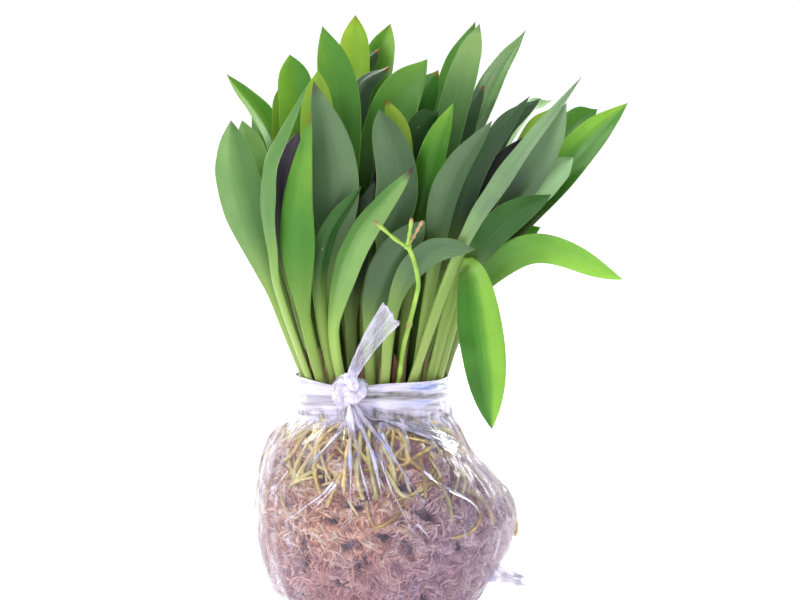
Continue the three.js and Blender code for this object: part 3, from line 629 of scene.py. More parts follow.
def film_look(name, least, most):
    """Clear film, from least covering to most. Its marks: haze, how white and gathered it is, and
    level, 1 where its creases run level and 0 where they run up and down."""
    look = Look(name, Roughness=0.3, Specular_IOR_Level=0.5)
    tree, haze, level = look.tree, look.mark("haze"), look.mark("level")
    upright = look.noise(210.0, 3, 0.6, stretch=(1.0, 1.0, 0.1))
    across = look.noise(300.0, 3, 0.6, stretch=(0.08, 0.08, 1.0))
    fine = look.math("ADD", upright, look.math("MULTIPLY", look.math("SUBTRACT", across, upright), level))
    cloud = look.noise(52.0, 4, 0.6)
    white = look.math("MULTIPLY", haze, look.span(fine, 0.32, 0.66, 0.55, 1.3))
    white = look.math("ADD", white, look.span(cloud, 0.56, 0.74, 0, 0.1), clamp=True)
    # Painted blue reflections, in patches where the cloud and the fine creases meet
    blue = look.math("MULTIPLY", look.span(cloud, 0.5, 0.66), look.span(fine, 0.45, 0.6))
    # The film glows faintly: painted light
    look.set(Base_Color=look.blend(blue, FILM_COLOUR, FILM_PAINTED_REFLECTION_BLUE), **FILM_PAINTED_GLOW)
    look.bump(fine, 0.35, 0.0008)
    relief = look.shader.inputs["Normal"].links[0].from_socket
    clear = add_node(tree, "BsdfTransparent")
    body = add_node(tree, "MixShader", {0: look.span(white, 0.0, 1.0, least, most), 1: clear.outputs[0]})
    put(tree, body.inputs[2], look.shader.outputs[0])
    gloss = add_node(tree, "BsdfGlossy", {"Roughness": 0.18, "Normal": relief})
    share = add_node(tree, "Fresnel", {"IOR": 1.27, "Normal": relief}).outputs[0]
    both = add_node(tree, "MixShader", {0: share, 1: body.outputs[0], 2: gloss.outputs[0]})
    tree.links.new(both.outputs[0], tree.nodes["Material Output"].inputs["Surface"])
    return look.material


def waves(points, length, seed, count=14):
    """A smooth random field over points, about -1 to 1, whose bumps are about so long."""
    rng = np.random.default_rng(seed)
    ways = unit(rng.normal(size=(count, 3)))
    pace = 2 * np.pi / (length * rng.uniform(0.7, 1.5, count))
    phase = rng.uniform(0, 2 * np.pi, count)
    total = np.zeros(points.shape[:-1])
    for way, rate, shift in zip(ways, pace, phase):
        total += np.sin(points @ way * rate + shift)
    return total / math.sqrt(count)


def outward(points, faces):
    """The same faces, all turned over if they face inwards."""
    volume = 0
    for f in faces:
        a, b, c = points[f[:, 0]], points[f[:, 1]], points[f[:, 2]]
        volume += np.sum(a * np.cross(b, c)) * (1 if f.shape[1] == 3 else 2)
    return [f[:, ::-1] for f in faces] if volume < 0 else faces


# Each lamp: where it stands in metres, how wide it is, its power in watts and its colour
LAMPS = {
    "key": ((-1.1, 0.9, 1.7), 0.8, 48, (1.0, 0.98, 0.94)),
    "rim": ((1.4, 1.1, 1.2), 0.7, 22, (0.95, 0.97, 1.0)),
    "front": ((-1.2, -1.6, 1.4), 0.7, 26, (1.0, 0.97, 1.0)),
}
LAMP_AIM = (0, 0, 0.15)
SENSOR_WIDE = 36
FLOOR_HALF = 60


def lamp(name, place, size, power, colour):
    data = bpy.data.lights.new(name, "AREA")
    data.shape, data.size, data.energy, data.color = "DISK", size, power, colour
    light = bpy.data.objects.new(name, data)
    light.location = place
    light.rotation_euler = (Vector(LAMP_AIM) - Vector(place)).to_track_quat("-Z", "Y").to_euler()
    bpy.context.scene.collection.objects.link(light)


# The photograph's view, the light and the floor


def set_the_stage():
    scene = bpy.context.scene
    aim = Vector(VIEW_CENTRE) * MM
    reach = VIEW_DISTANCE * MM
    data = bpy.data.cameras.new("camera")
    data.sensor_width = SENSOR_WIDE
    data.lens = SENSOR_WIDE * VIEW_DISTANCE / VIEW_WIDE
    data.clip_end = 200
    camera = bpy.data.objects.new("camera", data)
    camera.location = aim + reach * Vector((0, -math.cos(VIEW_TILT), math.sin(VIEW_TILT)))
    camera.rotation_euler = (aim - camera.location).to_track_quat("-Z", "Y").to_euler()
    scene.collection.objects.link(camera)
    scene.camera = camera

    scene.view_settings.view_transform = "Standard"
    scene.view_settings.look = "None"
    world = bpy.data.worlds.new("white room")
    scene.world = world
    world.use_nodes = True
    tree = world.node_tree
    direction = add_node(tree, "TexCoord").outputs["Generated"]
    apart = add_node(tree, "SeparateXYZ", {"Vector": direction}).outputs
    back = add_node(tree, "MapRange", {"Value": apart["Y"], 1: -0.6, 2: 0.5, 3: 0.32, 4: 1.2})
    put(tree, tree.nodes["Background"].inputs["Strength"], back.outputs[0])
    put(tree, tree.nodes["Background"].inputs["Color"], (1.0, 1.0, 1.0))

    look = Look("floor", Base_Color=(0.93, 0.93, 0.94), Roughness=0.9, Specular_IOR_Level=0.0)
    look.set(Emission_Color=(1.0, 1.0, 1.0), Emission_Strength=0.35)
    look.bump(look.noise(9.0), 0.02, 0.0002)
    mesh = bpy.data.meshes.new("floor")
    half = FLOOR_HALF
    corners = [(-half, -half, 0), (half, -half, 0), (half, half, 0), (-half, half, 0)]
    mesh.from_pydata(corners, [], [(0, 1, 2, 3)])
    mesh.materials.append(look.material)
    floor = bpy.data.objects.new("floor", mesh)
    floor.location.z = -0.0005
    scene.collection.objects.link(floor)

    for name, values in LAMPS.items():
        lamp(name, *values)


# The leaves

RING = 9
STATIONS = np.concatenate(
    [np.linspace(0, BLADE_START, 10)[:-1], np.linspace(BLADE_START, 0.96, 32), [0.975, 0.985, 0.993, 1]]
)


def stand_stems():
    """Where each stem stands on the crown, pushed apart as in the solids."""
    feet = []
    n = CROWN_SQUARENESS
    for leaf in LEAVES:
        across = min(max((leaf.foot - CROWN_X) * FEET_SPREAD / FEET_WIDE, -0.95), 0.95)
        feet.append([across * FEET_WIDE, leaf.layer * FEET_DEEP * (1 - abs(across) ** n) ** (1 / n)])
    for _ in range(PUSHES):
        for i, a in enumerate(feet):
            for b in feet[:i]:
                dx, dy = a[0] - b[0], a[1] - b[1]
                apart = math.hypot(dx, dy) or 0.01
                if apart < FOOT_SPACING:
                    push = (FOOT_SPACING - apart) / (2 * apart)
                    a[0] += dx * push
                    a[1] += dy * push
                    b[0] -= dx * push
                    b[1] -= dy * push
            out = (abs(a[0] / FEET_WIDE) ** n + abs(a[1] / FEET_DEEP) ** n) ** (1 / n)
            if out > 1:
                a[0] /= out
                a[1] /= out
    return [np.array([CROWN_X + x, y, CROWN_TOP - FOOT_SINK]) for x, y in feet]


def blade_shape(share, form):
    widest, roundness = form
    rising = np.sin(np.pi / 2 * np.clip(share / widest, 0, 1)) ** BLADE_RISE
    ending = 1 - np.clip((share - widest) / (1 - widest), 0, 1) ** roundness
    return np.where(share < widest, rising, ending)


def leaf_path(leaf, foot):
    marks = (leaf.neck, leaf.middle, leaf.tip)
    depths = leaf.depths or [layer_depth(leaf.layer, up) for _, up in marks]
    return np.array([foot, *[seen(right, up, deep) for (right, up), deep in zip(marks, depths)]])


def turn_about(vectors, axes, angles):
    """Each vector turned about its axis."""
    c, s = np.cos(angles)[:, None], np.sin(angles)[:, None]
    along = np.sum(vectors * axes, axis=1, keepdims=True)
    return vectors * c + np.cross(axes, vectors) * s + axes * along * (1 - c)


def make_leaf(leaf, foot, material, number):
    rng = np.random.default_rng(number + 11)
    path = leaf_path(leaf, foot)
    at = STATIONS
    middle = through(path, at)
    along = unit(through(path, at + 0.004) - through(path, at - 0.004))
    along[0], along[-1] = along[1], along[-2]
    viewer = np.array([0.0, -1.0, 0.0])
    up = unit(viewer - along * (along @ viewer)[:, None])
    sway = rng.uniform(-6, 6) * np.sin(np.pi * at)
    up = turn_about(up, along, np.radians(leaf.turn + sway))
    side = np.cross(along, up)

    blade = np.clip((at - BLADE_START) / (1 - BLADE_START), 0, 1)
    flat = step(0, 0.18, blade)
    end = step(0.9, 1, blade)
    stem = mix(FOOT_HALF_WIDTH, STEM_HALF_WIDTH, step(0, 0.3, at))
    blade_width = blade_shape(blade, leaf.form)
    half = stem * (1 - blade) + (leaf.width / 2 - 0.6) * blade_width
    half = np.maximum(half, 0.12)
    edge = mix(0.9, 0.32, flat) * (1 - 0.5 * end)
    lift = mix(0.2, half * math.tan(math.radians(leaf.fold)), flat)
    groove = mix(0.9, 0.25, flat)
    keel = mix(1.1, 0.5, flat) * (1 - end)

    u = np.sin(np.linspace(-math.pi / 2, math.pi / 2, RING))
    rim = np.sqrt(np.clip(1 - u**4, 0, 1))
    bend = (np.sqrt(u**2 + 0.0036) - 0.06)[None, :]
    wave = 0.35 * np.sin(at * rng.uniform(26, 40) + rng.uniform(0, 6)) * blade_width
    wave2 = 0.35 * np.sin(at * rng.uniform(22, 38) + rng.uniform(0, 6)) * blade_width
    ripple = np.where(u[None, :] > 0, wave[:, None], wave2[:, None]) * (u**2)[None, :]
    puff = 0.5 * blade_width[:, None] * np.abs(u * (1 - u**2))[None, :]
    rib = np.exp(-((u / 0.16) ** 2))[None, :]
    lop = 1 + rng.uniform(-0.07, 0.07) * np.sign(u)[None, :] * flat[:, None]
    base = lift[:, None] * bend + ripple + puff
    # a stem's upper face is a shallow channel, and its underside is round
    round_up = mix(0.75, 0.0, flat)[:, None] * rim[None, :]
    top = base + edge[:, None] * 0.5 * rim + round_up * 0.4 - (groove[:, None] * 0.9 - 0.05) * rib
    low = base - edge[:, None] * 0.5 * rim - keel[:, None] * mix(rim[None, :], rib, flat[:, None])
    height = np.concatenate([top, low[:, ::-1]], axis=1)
    ring_u = np.concatenate([u, u[::-1]])
    reach = np.concatenate([u[None, :] * lop, (u[None, :] * lop)[:, ::-1]], axis=1) * half[:, None]
    points = middle[:, None] + side[:, None] * reach[:, :, None] + up[:, None] * height[:, :, None]
    columns = 2 * RING
    faces = [grid_faces(len(at), columns, closed=True), cap_faces(len(at), columns)]
    points = points.reshape(-1, 3)
    # The glow mark is painted light and shade: lighter or darker all over, lighter towards the tip, and one
    # half of the fold lighter than the other as though lit from one side
    base, tipward, rightward = leaf.glow
    facing = np.sign(side[len(at) // 2 :, 0].mean())
    halves = facing * np.tanh(5 * ring_u)[None, :]
    # Painted shade deep in the clump: the lower part of every leaf behind the front ones is made darker,
    # through both the glow mark and the light mark
    inner = np.clip(leaf.layer + 0.75, 0, 0.7) * (1 - step(0.3, 0.75, at))
    glow = base + tipward * step(0.35, 1, at)[:, None] + rightward * halves - 0.9 * inner[:, None]
    marks = {
        "along": np.repeat(at, columns),
        "glow": np.clip(glow, -1, 1).ravel(),
        "across": np.tile(ring_u, len(at)),
        "face": np.tile(np.repeat([1.0, 0.0], RING), len(at)),
        "own": np.full(len(points), float(number)),
        "light": np.repeat(leaf.light * (1 - 0.62 * np.clip(inner * 1.6, 0, 1)), columns),
        "brown": np.full(len(points), leaf.brown),
    }
    faces = outward(points, faces)
    make_piece(leaf.name, points, faces, material, [f"leaf_{leaf.name}"], marks)


def make_leaves(feet):
    looks = {}
    for number, leaf in enumerate(LEAVES):
        key = (leaf.tone, 1 if abs(leaf.turn) <= 90 else 0)
        if key not in looks:
            looks[key] = leaf_look(*key)
        make_leaf(leaf, feet[number], looks[key], number)


# The flower stalk

STALK_MAIN = [(5, 107), (7, 121), (10, 133), (13, 145), (14, 152), (12, 162), (9, 169)]
STALK_STUBS = [
    [(9, 168), (3, 172), (-6, 180)],
    [(9, 169), (10, 174), (11, 181)],
    [(9, 168), (12, 173), (16, 180)],
]


def make_stalk():
    def placed(marks):
        return [seen(right, up, -(FEET_DEEP - 0.6 + 0.5 * (up - CROWN_TOP))) for right, up in marks]

    parts = []
    foot = np.array([2, -FEET_DEEP - 1.5, CROWN_TOP + 0.4])
    for i, points in enumerate([[foot, *placed(STALK_MAIN)], *map(placed, STALK_STUBS)]):
        at = np.linspace(0, 1, 60 if i == 0 else 26)
        path = through(np.array(points), at)[None]
        radius = np.full(len(at), 1.05 if i == 0 else 0.85)
        dry = np.zeros(len(at))
        if i == 0:
            for ring, size in ((0.18, 0.35), (0.42, 0.6), (0.985, 0.9)):
                radius += size * np.exp(-(((at - ring) / 0.012) ** 2))
            dry += 0.8 * np.exp(-(((at - 0.42) / 0.014) ** 2))
        else:
            radius *= 1 + 0.15 * np.sin(at * 17) * (at > 0.1)
            dry += step(0.86, 0.98, at) if i < 3 else step(0.05, 0.3, at)
            if i == 3:
                radius *= 0.75 + 0.3 * np.sin(at * 29)
        normals = np.broadcast_to(np.array([0.0, -1.0, 0.0]), path.shape)
        made, faces = tubes(path, radius[None], normals, 12)
        parts.append((made, outward(made, faces), {"dry": np.repeat(dry, 12)}))
    points, faces, marks = join_shells(parts)
    make_piece("flower_stalk_skin", points, faces, stalk_look(), ["flower_stalk"], marks)


# The moss: a dented ball under thousands of curled strands

STRANDS = 3500
STRAND_PIECES = 3
# About how long one turn of the ball is for the strands and for the roots, and how high it is
STRAND_GIRTH = 2 * np.pi * 52
ROOT_GIRTH = 2 * np.pi * 50
BALL_RISE = 112
# Dark hollows in it as seen: right, up and how wide
HOLLOWS = [
    (-30, 63, 5.5),
    (-45.5, 36, 4),
    (12.5, 28, 6),
    (-2, 33.5, 4.5),
    (29.5, 59, 5),
    (6, 58, 5),
    (-14, 21, 4),
    (34, 30, 4.5),
    (20, 44, 4),
    (-24, 12, 4),
    (40, 16, 4),
]


def moss_relief(points):
    """How far the moss stands out, before its strands"""
    relief = 1.3 * waves(points, 24, 1) + 1.1 * waves(points, 10, 2) + 0.6 * waves(points, 4.5, 3)
    for right, up, wide in HOLLOWS:
        centre = ball_point(*over_ball(right, up, -1), -1)
        away = np.sum((points - centre) ** 2, axis=-1) / wide**2
        relief = relief - 4.5 * np.exp(-1.4 * away)
    return relief


def moss_clumps(points):
    return 1.3 * waves(points, 8, 10)


def make_moss():
    columns, rows = 300, 130
    turns = np.arange(columns) / columns
    rise = np.linspace(0, 1, rows)
    grid_turns, grid_rise = np.meshgrid(turns, rise)
    relief = moss_relief(ball_point(grid_turns, grid_rise, 0))
    fade = step(0, 0.04, grid_rise) * (1 - step(0.96, 1, grid_rise))
    clumps = moss_clumps(ball_point(grid_turns, grid_rise, 0))
    out = np.clip(-3.8 + 1.2 * relief + clumps, -8.5, -0.9) * fade
    points = ball_point(grid_turns, grid_rise, out).reshape(-1, 3)
    # painted shade where the moss body lies low between its clumps and in its hollows
    hollow = np.clip(0.1 - (0.35 * relief + 0.3 * clumps).ravel(), 0, 1)
    ends = np.array([[0, 0, BALL_UP[0]], [CROWN_X, 0, BALL_UP[-1]]])
    ring = np.arange(columns)
    low = fan_faces(len(points), ring)[:, [0, 2, 1]]
    high = fan_faces(len(points) + 1, ring + (rows - 1) * columns)
    faces = [grid_faces(rows, columns, closed=True), np.concatenate([low, high])]
    points = np.concatenate([points, ends])
    marks = {"hollow": np.concatenate([hollow, [0, 0]])}
    look = moss_look("moss_body", False)
    make_piece("moss_body", points, outward(points, faces), look, ["moss_ball"], marks)

    loose = moss_look("moss_strands", True)
    count, steps, sides = STRANDS, 8, 3
    for batch in range(STRAND_PIECES):
        rng = np.random.default_rng(40 + batch)
        turns = rng.uniform(0, 1, count)
        rise = rng.uniform(0.012, 0.93, count)
        # two in three lie along their neighbours in long tufts, and the others curl any way
        tufted = rng.uniform(0, 1, count) < 0.66
        drift = waves(ball_point(turns, rise, 0), 26, 9)
        length = np.where(tufted, rng.uniform(6, 13, count), rng.uniform(3, 8, count))
        along_drift = 2.6 * drift + rng.normal(0, 0.45, count)
        heading = np.where(tufted, along_drift, rng.uniform(0, 2 * np.pi, count))
        curl = rng.normal(0, 1, count) * np.where(tufted, 1.4, 2.4)
        curl2 = rng.normal(0, 1, count) * np.where(tufted, 1.1, 2.6)
        s = np.linspace(0, 1, steps)[None, :]
        angle = heading[:, None] + curl[:, None] * s + curl2[:, None] * s**2
        move = length[:, None] / (steps - 1)
        dx = np.cumsum(np.cos(angle) * move, axis=1)
        dy = np.cumsum(np.sin(angle) * move, axis=1)
        at_turns = turns[:, None] + (dx - dx.mean(1, keepdims=True)) / STRAND_GIRTH
        at_rise = np.clip(rise[:, None] + (dy - dy.mean(1, keepdims=True)) / BALL_RISE, 0.004, 0.97)
        flat = ball_point(at_turns, at_rise, 0)
        relief = moss_relief(flat)
        clumps = moss_clumps(flat)
        ground = np.clip(-1.7 + 1.25 * relief + clumps, -7.5, 0.2)
        # over the roots it lies in tufts only
        tufts = waves(flat, 13, 8) + 0.9 * np.abs(np.cos(2 * np.pi * at_turns)) ** 1.5
        ground = ground + np.clip(tufts * 4 - 1.4, -1.5, 2.2) * step(0.52, 0.62, at_rise)
        hump = rng.uniform(-0.7, 1.7, count)[:, None] * np.sin(np.pi * s)
        hump = hump + rng.uniform(-0.9, 0.7, count)[:, None]
        radius = rng.uniform(0.3, 0.65, count) * rng.choice([0.8, 1.0, 1.9], count)
        radius = radius[:, None] * (1 - 0.8 * np.abs(2 * s - 1) ** 3)
        radius = radius * rng.uniform(0.55, 1.4, (count, steps))
        roof = np.where(at_rise > 0.5, 2.6, 0.95)
        out = np.minimum(ground + hump, roof - radius)
        path = ball_point(at_turns, at_rise, out)
        normals = unit(ball_point(at_turns, at_rise, out + 1) - path)
        tilt = rng.normal(0, 0.6, (count, 1, 3))
        points, faces = tubes(path, radius, unit(normals + tilt), sides, 0.5)
        points[:, 2] = np.maximum(points[:, 2], 0.7)
        own = np.clip(rng.normal(0.5, 0.26, count), 0, 1)
        # painted shade where the strands lie low between clumps
        painted_sunk_shade = np.clip(-0.3 - 0.32 * relief - 0.33 * clumps, 0, 1)
        # Painted light: strands on the crests of clumps take paler colours
        own = np.clip(own[:, None] + 0.2 * clumps, 0, 1)
        marks = {"own": np.repeat(own.ravel(), sides), "hollow": np.repeat(painted_sunk_shade.ravel(), sides)}
        make_piece(f"moss_strands_{batch + 1}", points, faces, loose, (), marks)


# Roots


def over_ball(right, up, out):
    """The place so far off the ball that is seen so far right and up, in front. Each try moves it
    by a share of what is missing."""
    turns, rise = 0.75 + right / 400, 0.7
    for _ in range(60):
        point = ball_point(turns, rise, out)
        goal = seen(right, up, point[1])
        turns += (goal[0] - point[0]) / 700
        rise = min(max(rise + (goal[2] - point[2]) / 250, 0.03), 1)
    return turns, rise


HANGING_ROOTS = 130
# These come out of the moss and go in again
LOOPING_ROOTS = 70
# Roots that stand out, as seen: right and up in millimetres
MARKED_ROOTS = [
    [(-45, 92), (-38, 87), (-32, 75), (-27.5, 61)],
    [(-22, 93), (-30, 92), (-38, 87), (-49, 77)],
    [(-24, 92), (-36, 84), (-44, 73), (-52, 66)],
    [(-26, 90), (-34, 82), (-40, 72), (-45, 62)],
    [(-20, 88), (-30, 80), (-37, 70), (-41, 60)],
    [(-18, 84), (-25, 79), (-32, 71), (-36, 63)],
    [(-22, 80), (-15, 76), (-7, 66), (-2, 58)],
    [(-16, 82), (-19, 72), (-20, 62), (-21, 54)],
    [(-12, 84), (-13, 74), (-14, 62), (-12, 52)],
    [(-8, 85), (-9, 74), (-7, 62), (-5, 52)],
    [(-4, 84), (-2, 76), (2, 68), (4, 58)],
    [(22, 77), (14, 72), (8, 68), (2, 64)],
    [(4, 84), (8, 78), (10, 70), (16, 66)],
    [(12, 88), (15, 91), (19, 88), (17, 84)],
    [(17, 86), (21, 87), (24, 83), (20, 79)],
    [(24, 84), (29, 82), (31, 76), (27, 70)],
    [(8, 80), (18, 78), (26, 76), (30, 70)],
    [(-2, 66), (2, 60), (6, 54), (12, 52)],
]


def make_roots(feet):
    rng = np.random.default_rng(7)
    steps, sides = 24, 6
    t = np.linspace(0, 1, steps)
    paths, radii, normals, owns = [], [], [], []

    def lay(turns, rise, out, radius, own, start=None):
        path = ball_point(turns, rise, out)
        if start is not None:
            path = mix(np.broadcast_to(start, path.shape), path, step(0, 0.16, t)[:, None])
        paths.append(path)
        normals.append(unit(ball_point(turns, rise, out + 1) - ball_point(turns, rise, out)))
        radii.append(radius * (1 - 0.3 * t**6) * (1 + 0.08 * np.sin(t * rng.uniform(20, 50))))
        owns.append(own)

    for i in range(HANGING_ROOTS):
        turns = rng.uniform(0, 1) if i % 3 == 0 else (i + rng.uniform(0, 1)) / HANGING_ROOTS
        sway = rng.normal(0, 0.075)
        wave = rng.normal(0, 0.014)
        rate = rng.uniform(3, 10)
        end = rng.uniform(0.5, 0.78)
        around = turns + sway * t**1.2 + wave * np.sin(rate * t + turns * 40)
        rise = mix(0.985, end, t) + 0.03 * np.sin(rate * 1.3 * t + turns * 60) * t
        depth = rng.uniform(-1.4, 1.9)
        out = depth + 0.6 * np.sin(t * rng.uniform(5, 14) + i) - 2.6 * step(rng.uniform(0.5, 0.8), 1, t)
        x, y = crown_rim(turns, FEET_WIDE + 2, FEET_DEEP + 2)
        start = np.array([x, y, CROWN_TOP - 4])
        lay(around, np.clip(rise, 0.02, 0.99), out, rng.uniform(0.65, 1.2), rng.uniform(), start)
    for _ in range(LOOPING_ROOTS):
        turns, level = rng.uniform(0, 1), rng.uniform(0.5, 0.86)
        way, far = rng.uniform(-1.2, 1.2) - np.pi / 2, rng.uniform(10, 26)
        bend = rng.normal(0, 1.3)
        angle = way + bend * t
        dx = np.cumsum(np.cos(angle)) * far / steps
        dy = np.cumsum(np.sin(angle)) * far / steps
        out = -1.2 + rng.uniform(1.8, 3.6) * np.sin(np.pi * t)
        rise = np.clip(level + dy / BALL_RISE, 0.3, 0.98)
        lay(turns + dx / ROOT_GIRTH, rise, out, rng.uniform(0.6, 1.15), rng.uniform())
    for marks in MARKED_ROOTS:
        spots = np.array([over_ball(right, up, 2.4) for right, up in marks])
        line = through(spots, t)
        out = 2.3 + 0.3 * np.sin(t * 9) - 2.6 * step(0.8, 1, t)
        lay(line[:, 0], np.clip(line[:, 1], 0.02, 0.99), out, rng.uniform(0.9, 1.2), rng.uniform(0.3, 1))
    made, faces = tubes(np.array(paths), np.array(radii), np.array(normals), sides)
    own = np.repeat(owns, steps * sides)
    make_piece("roots", made, faces, root_look(), ["rhizome_and_roots"], {"own": own})

    # The rhizome's rough top, which the stems stand in
    columns, rows = 140, 60
    turns = np.arange(columns) / columns
    share = np.concatenate([np.linspace(0.02, 1, rows - 8), np.ones(8)])
    fall = np.concatenate([np.zeros(rows - 8), np.linspace(0, 1, 9)[1:]])
    x, y = crown_rim(turns, 1, 1)
    px = CROWN_X + (x - CROWN_X)[None, :] * share[:, None] * (FEET_WIDE + CROWN_RIM)
    py = y[None, :] * share[:, None] * (FEET_DEEP + CROWN_RIM)
    pz = np.broadcast_to((CROWN_TOP - 0.6 - 7 * fall)[:, None], px.shape)
    points = np.stack([px, py, pz], -1)
    bumps = 0.9 * waves(points, 7, 21) + 0.6 * waves(points, 3, 22)
    points[..., 2] += np.where(fall[:, None] > 0, 0, bumps * 0.8)
    points = points.reshape(-1, 3)
    centre = np.array([[CROWN_X, 0, CROWN_TOP - 0.6]])
    ring = np.arange(columns)
    faces = [grid_faces(rows, columns, closed=True), fan_faces(len(points), ring)]
    make_piece("rhizome_top", np.concatenate([points, centre]), faces, crown_look())


# Dry sheaths round the feet of the stems: right, up of its top, half width, layer, own, and lean
SHEATHS = [
    (-35.5, 121, 2.0, -0.55, 0.15, -2),
    (-34.5, 118, 2.0, -0.7, 0.35, -1),
    (-28, 134, 2.6, -0.62, 0.85, 0),
    (-25.5, 121, 2.2, -0.95, 0.9, 1),
    (-30, 116, 1.8, -0.98, 0.5, 2),
    (0, 120, 2.4, -0.8, 0.05, 1),
    (3.5, 118, 2.2, -0.9, 0.1, 0),
    (9, 112, 1.6, -0.98, 0.3, 5),
    (-2.5, 117, 2.1, -0.95, 0.45, -1),
    (13, 118, 2.0, -0.6, 0.7, 1),
    (17, 124, 1.8, -0.8, 0.75, 1),
    (-12, 120, 2.2, -0.95, 0.2, 1),
    (20, 117, 2.0, -0.5, 0.4, 2),
]


def make_sheaths(feet):
    rng = np.random.default_rng(17)
    rows, columns = 22, 11
    parts = []
    marks = list(SHEATHS)
    for right in range(-30, 18, 4):
        for layer in (-0.35, 0.1, 0.5):
            top = CROWN_TOP + rng.uniform(32, 56)
            lean = (right - CROWN_X) * 0.35 + rng.normal(0, 2)
            marks.append((right + rng.normal(0, 1), top, rng.uniform(2.2, 3.0), layer, 1, lean))
    for foot in feet:
        if rng.uniform() < 0.6:
            top, half = CROWN_TOP + rng.uniform(10, 26), rng.uniform(1.9, 2.6)
            marks.append((foot[0], top, half, foot[1] / FEET_DEEP, rng.uniform(), rng.normal(0, 2)))
    for right, top, half, layer, own, lean in marks:
        t = np.linspace(0, 1, rows)
        up = mix(CROWN_TOP - 1.5, top, t)
        middle = seen(right + lean * t**2, up, layer * (FEET_DEEP + 1.2) - 0.5 * t)
        across = np.linspace(-1, 1, columns)
        wide = half * (1 - 0.75 * t**2.2)
        jag = rng.uniform(-1.6, 1.6, columns) * 0.8
        angle = across * 1.9
        swing = rng.uniform(-0.6, 0.6)
        x = middle[:, None, 0] + wide[:, None] * np.sin(angle + swing)[None, :]
        y = middle[:, None, 1] - wide[:, None] * np.cos(angle + swing)[None, :] * 0.9
        z = middle[:, None, 2] + jag[None, :] * t[:, None] ** 3 + 0 * x
        points = np.stack([x, y, z], -1)
        points += 0.25 * waves(points, 5, 31)[..., None]
        inner = points + np.array([0, 0.25, 0])
        both = np.concatenate([points.reshape(-1, 3), inner.reshape(-1, 3)])
        front = grid_faces(rows, columns)
        back = grid_faces(rows, columns, first=rows * columns)[:, ::-1]
        shown = {"along": np.tile(np.repeat(t, columns), 2), "across": np.tile(across, 2 * rows), "own": own}
        parts.append((both, [front, back], shown))
    points, faces, shown = join_shells(parts)
    make_piece("sheaths", points, faces, sheath_look(), (), shown)


# The film: a bag drawn in at the neck, its knot and torn end, and the stretched folds from the knot


def film_surface(turns, rise, more=0.0):
    """A place on the film over the ball."""
    stand = mix(FILM_LOW_GAP, FILM_HIGH_GAP, step(0.25, 0.55, rise))
    left = np.maximum(0, -np.cos(2 * np.pi * turns))
    stand = stand + left * 1.4 * (1 - step(0.4, 0.6, rise)) * step(0, 0.2, rise)
    return ball_point(turns, rise, stand + more)


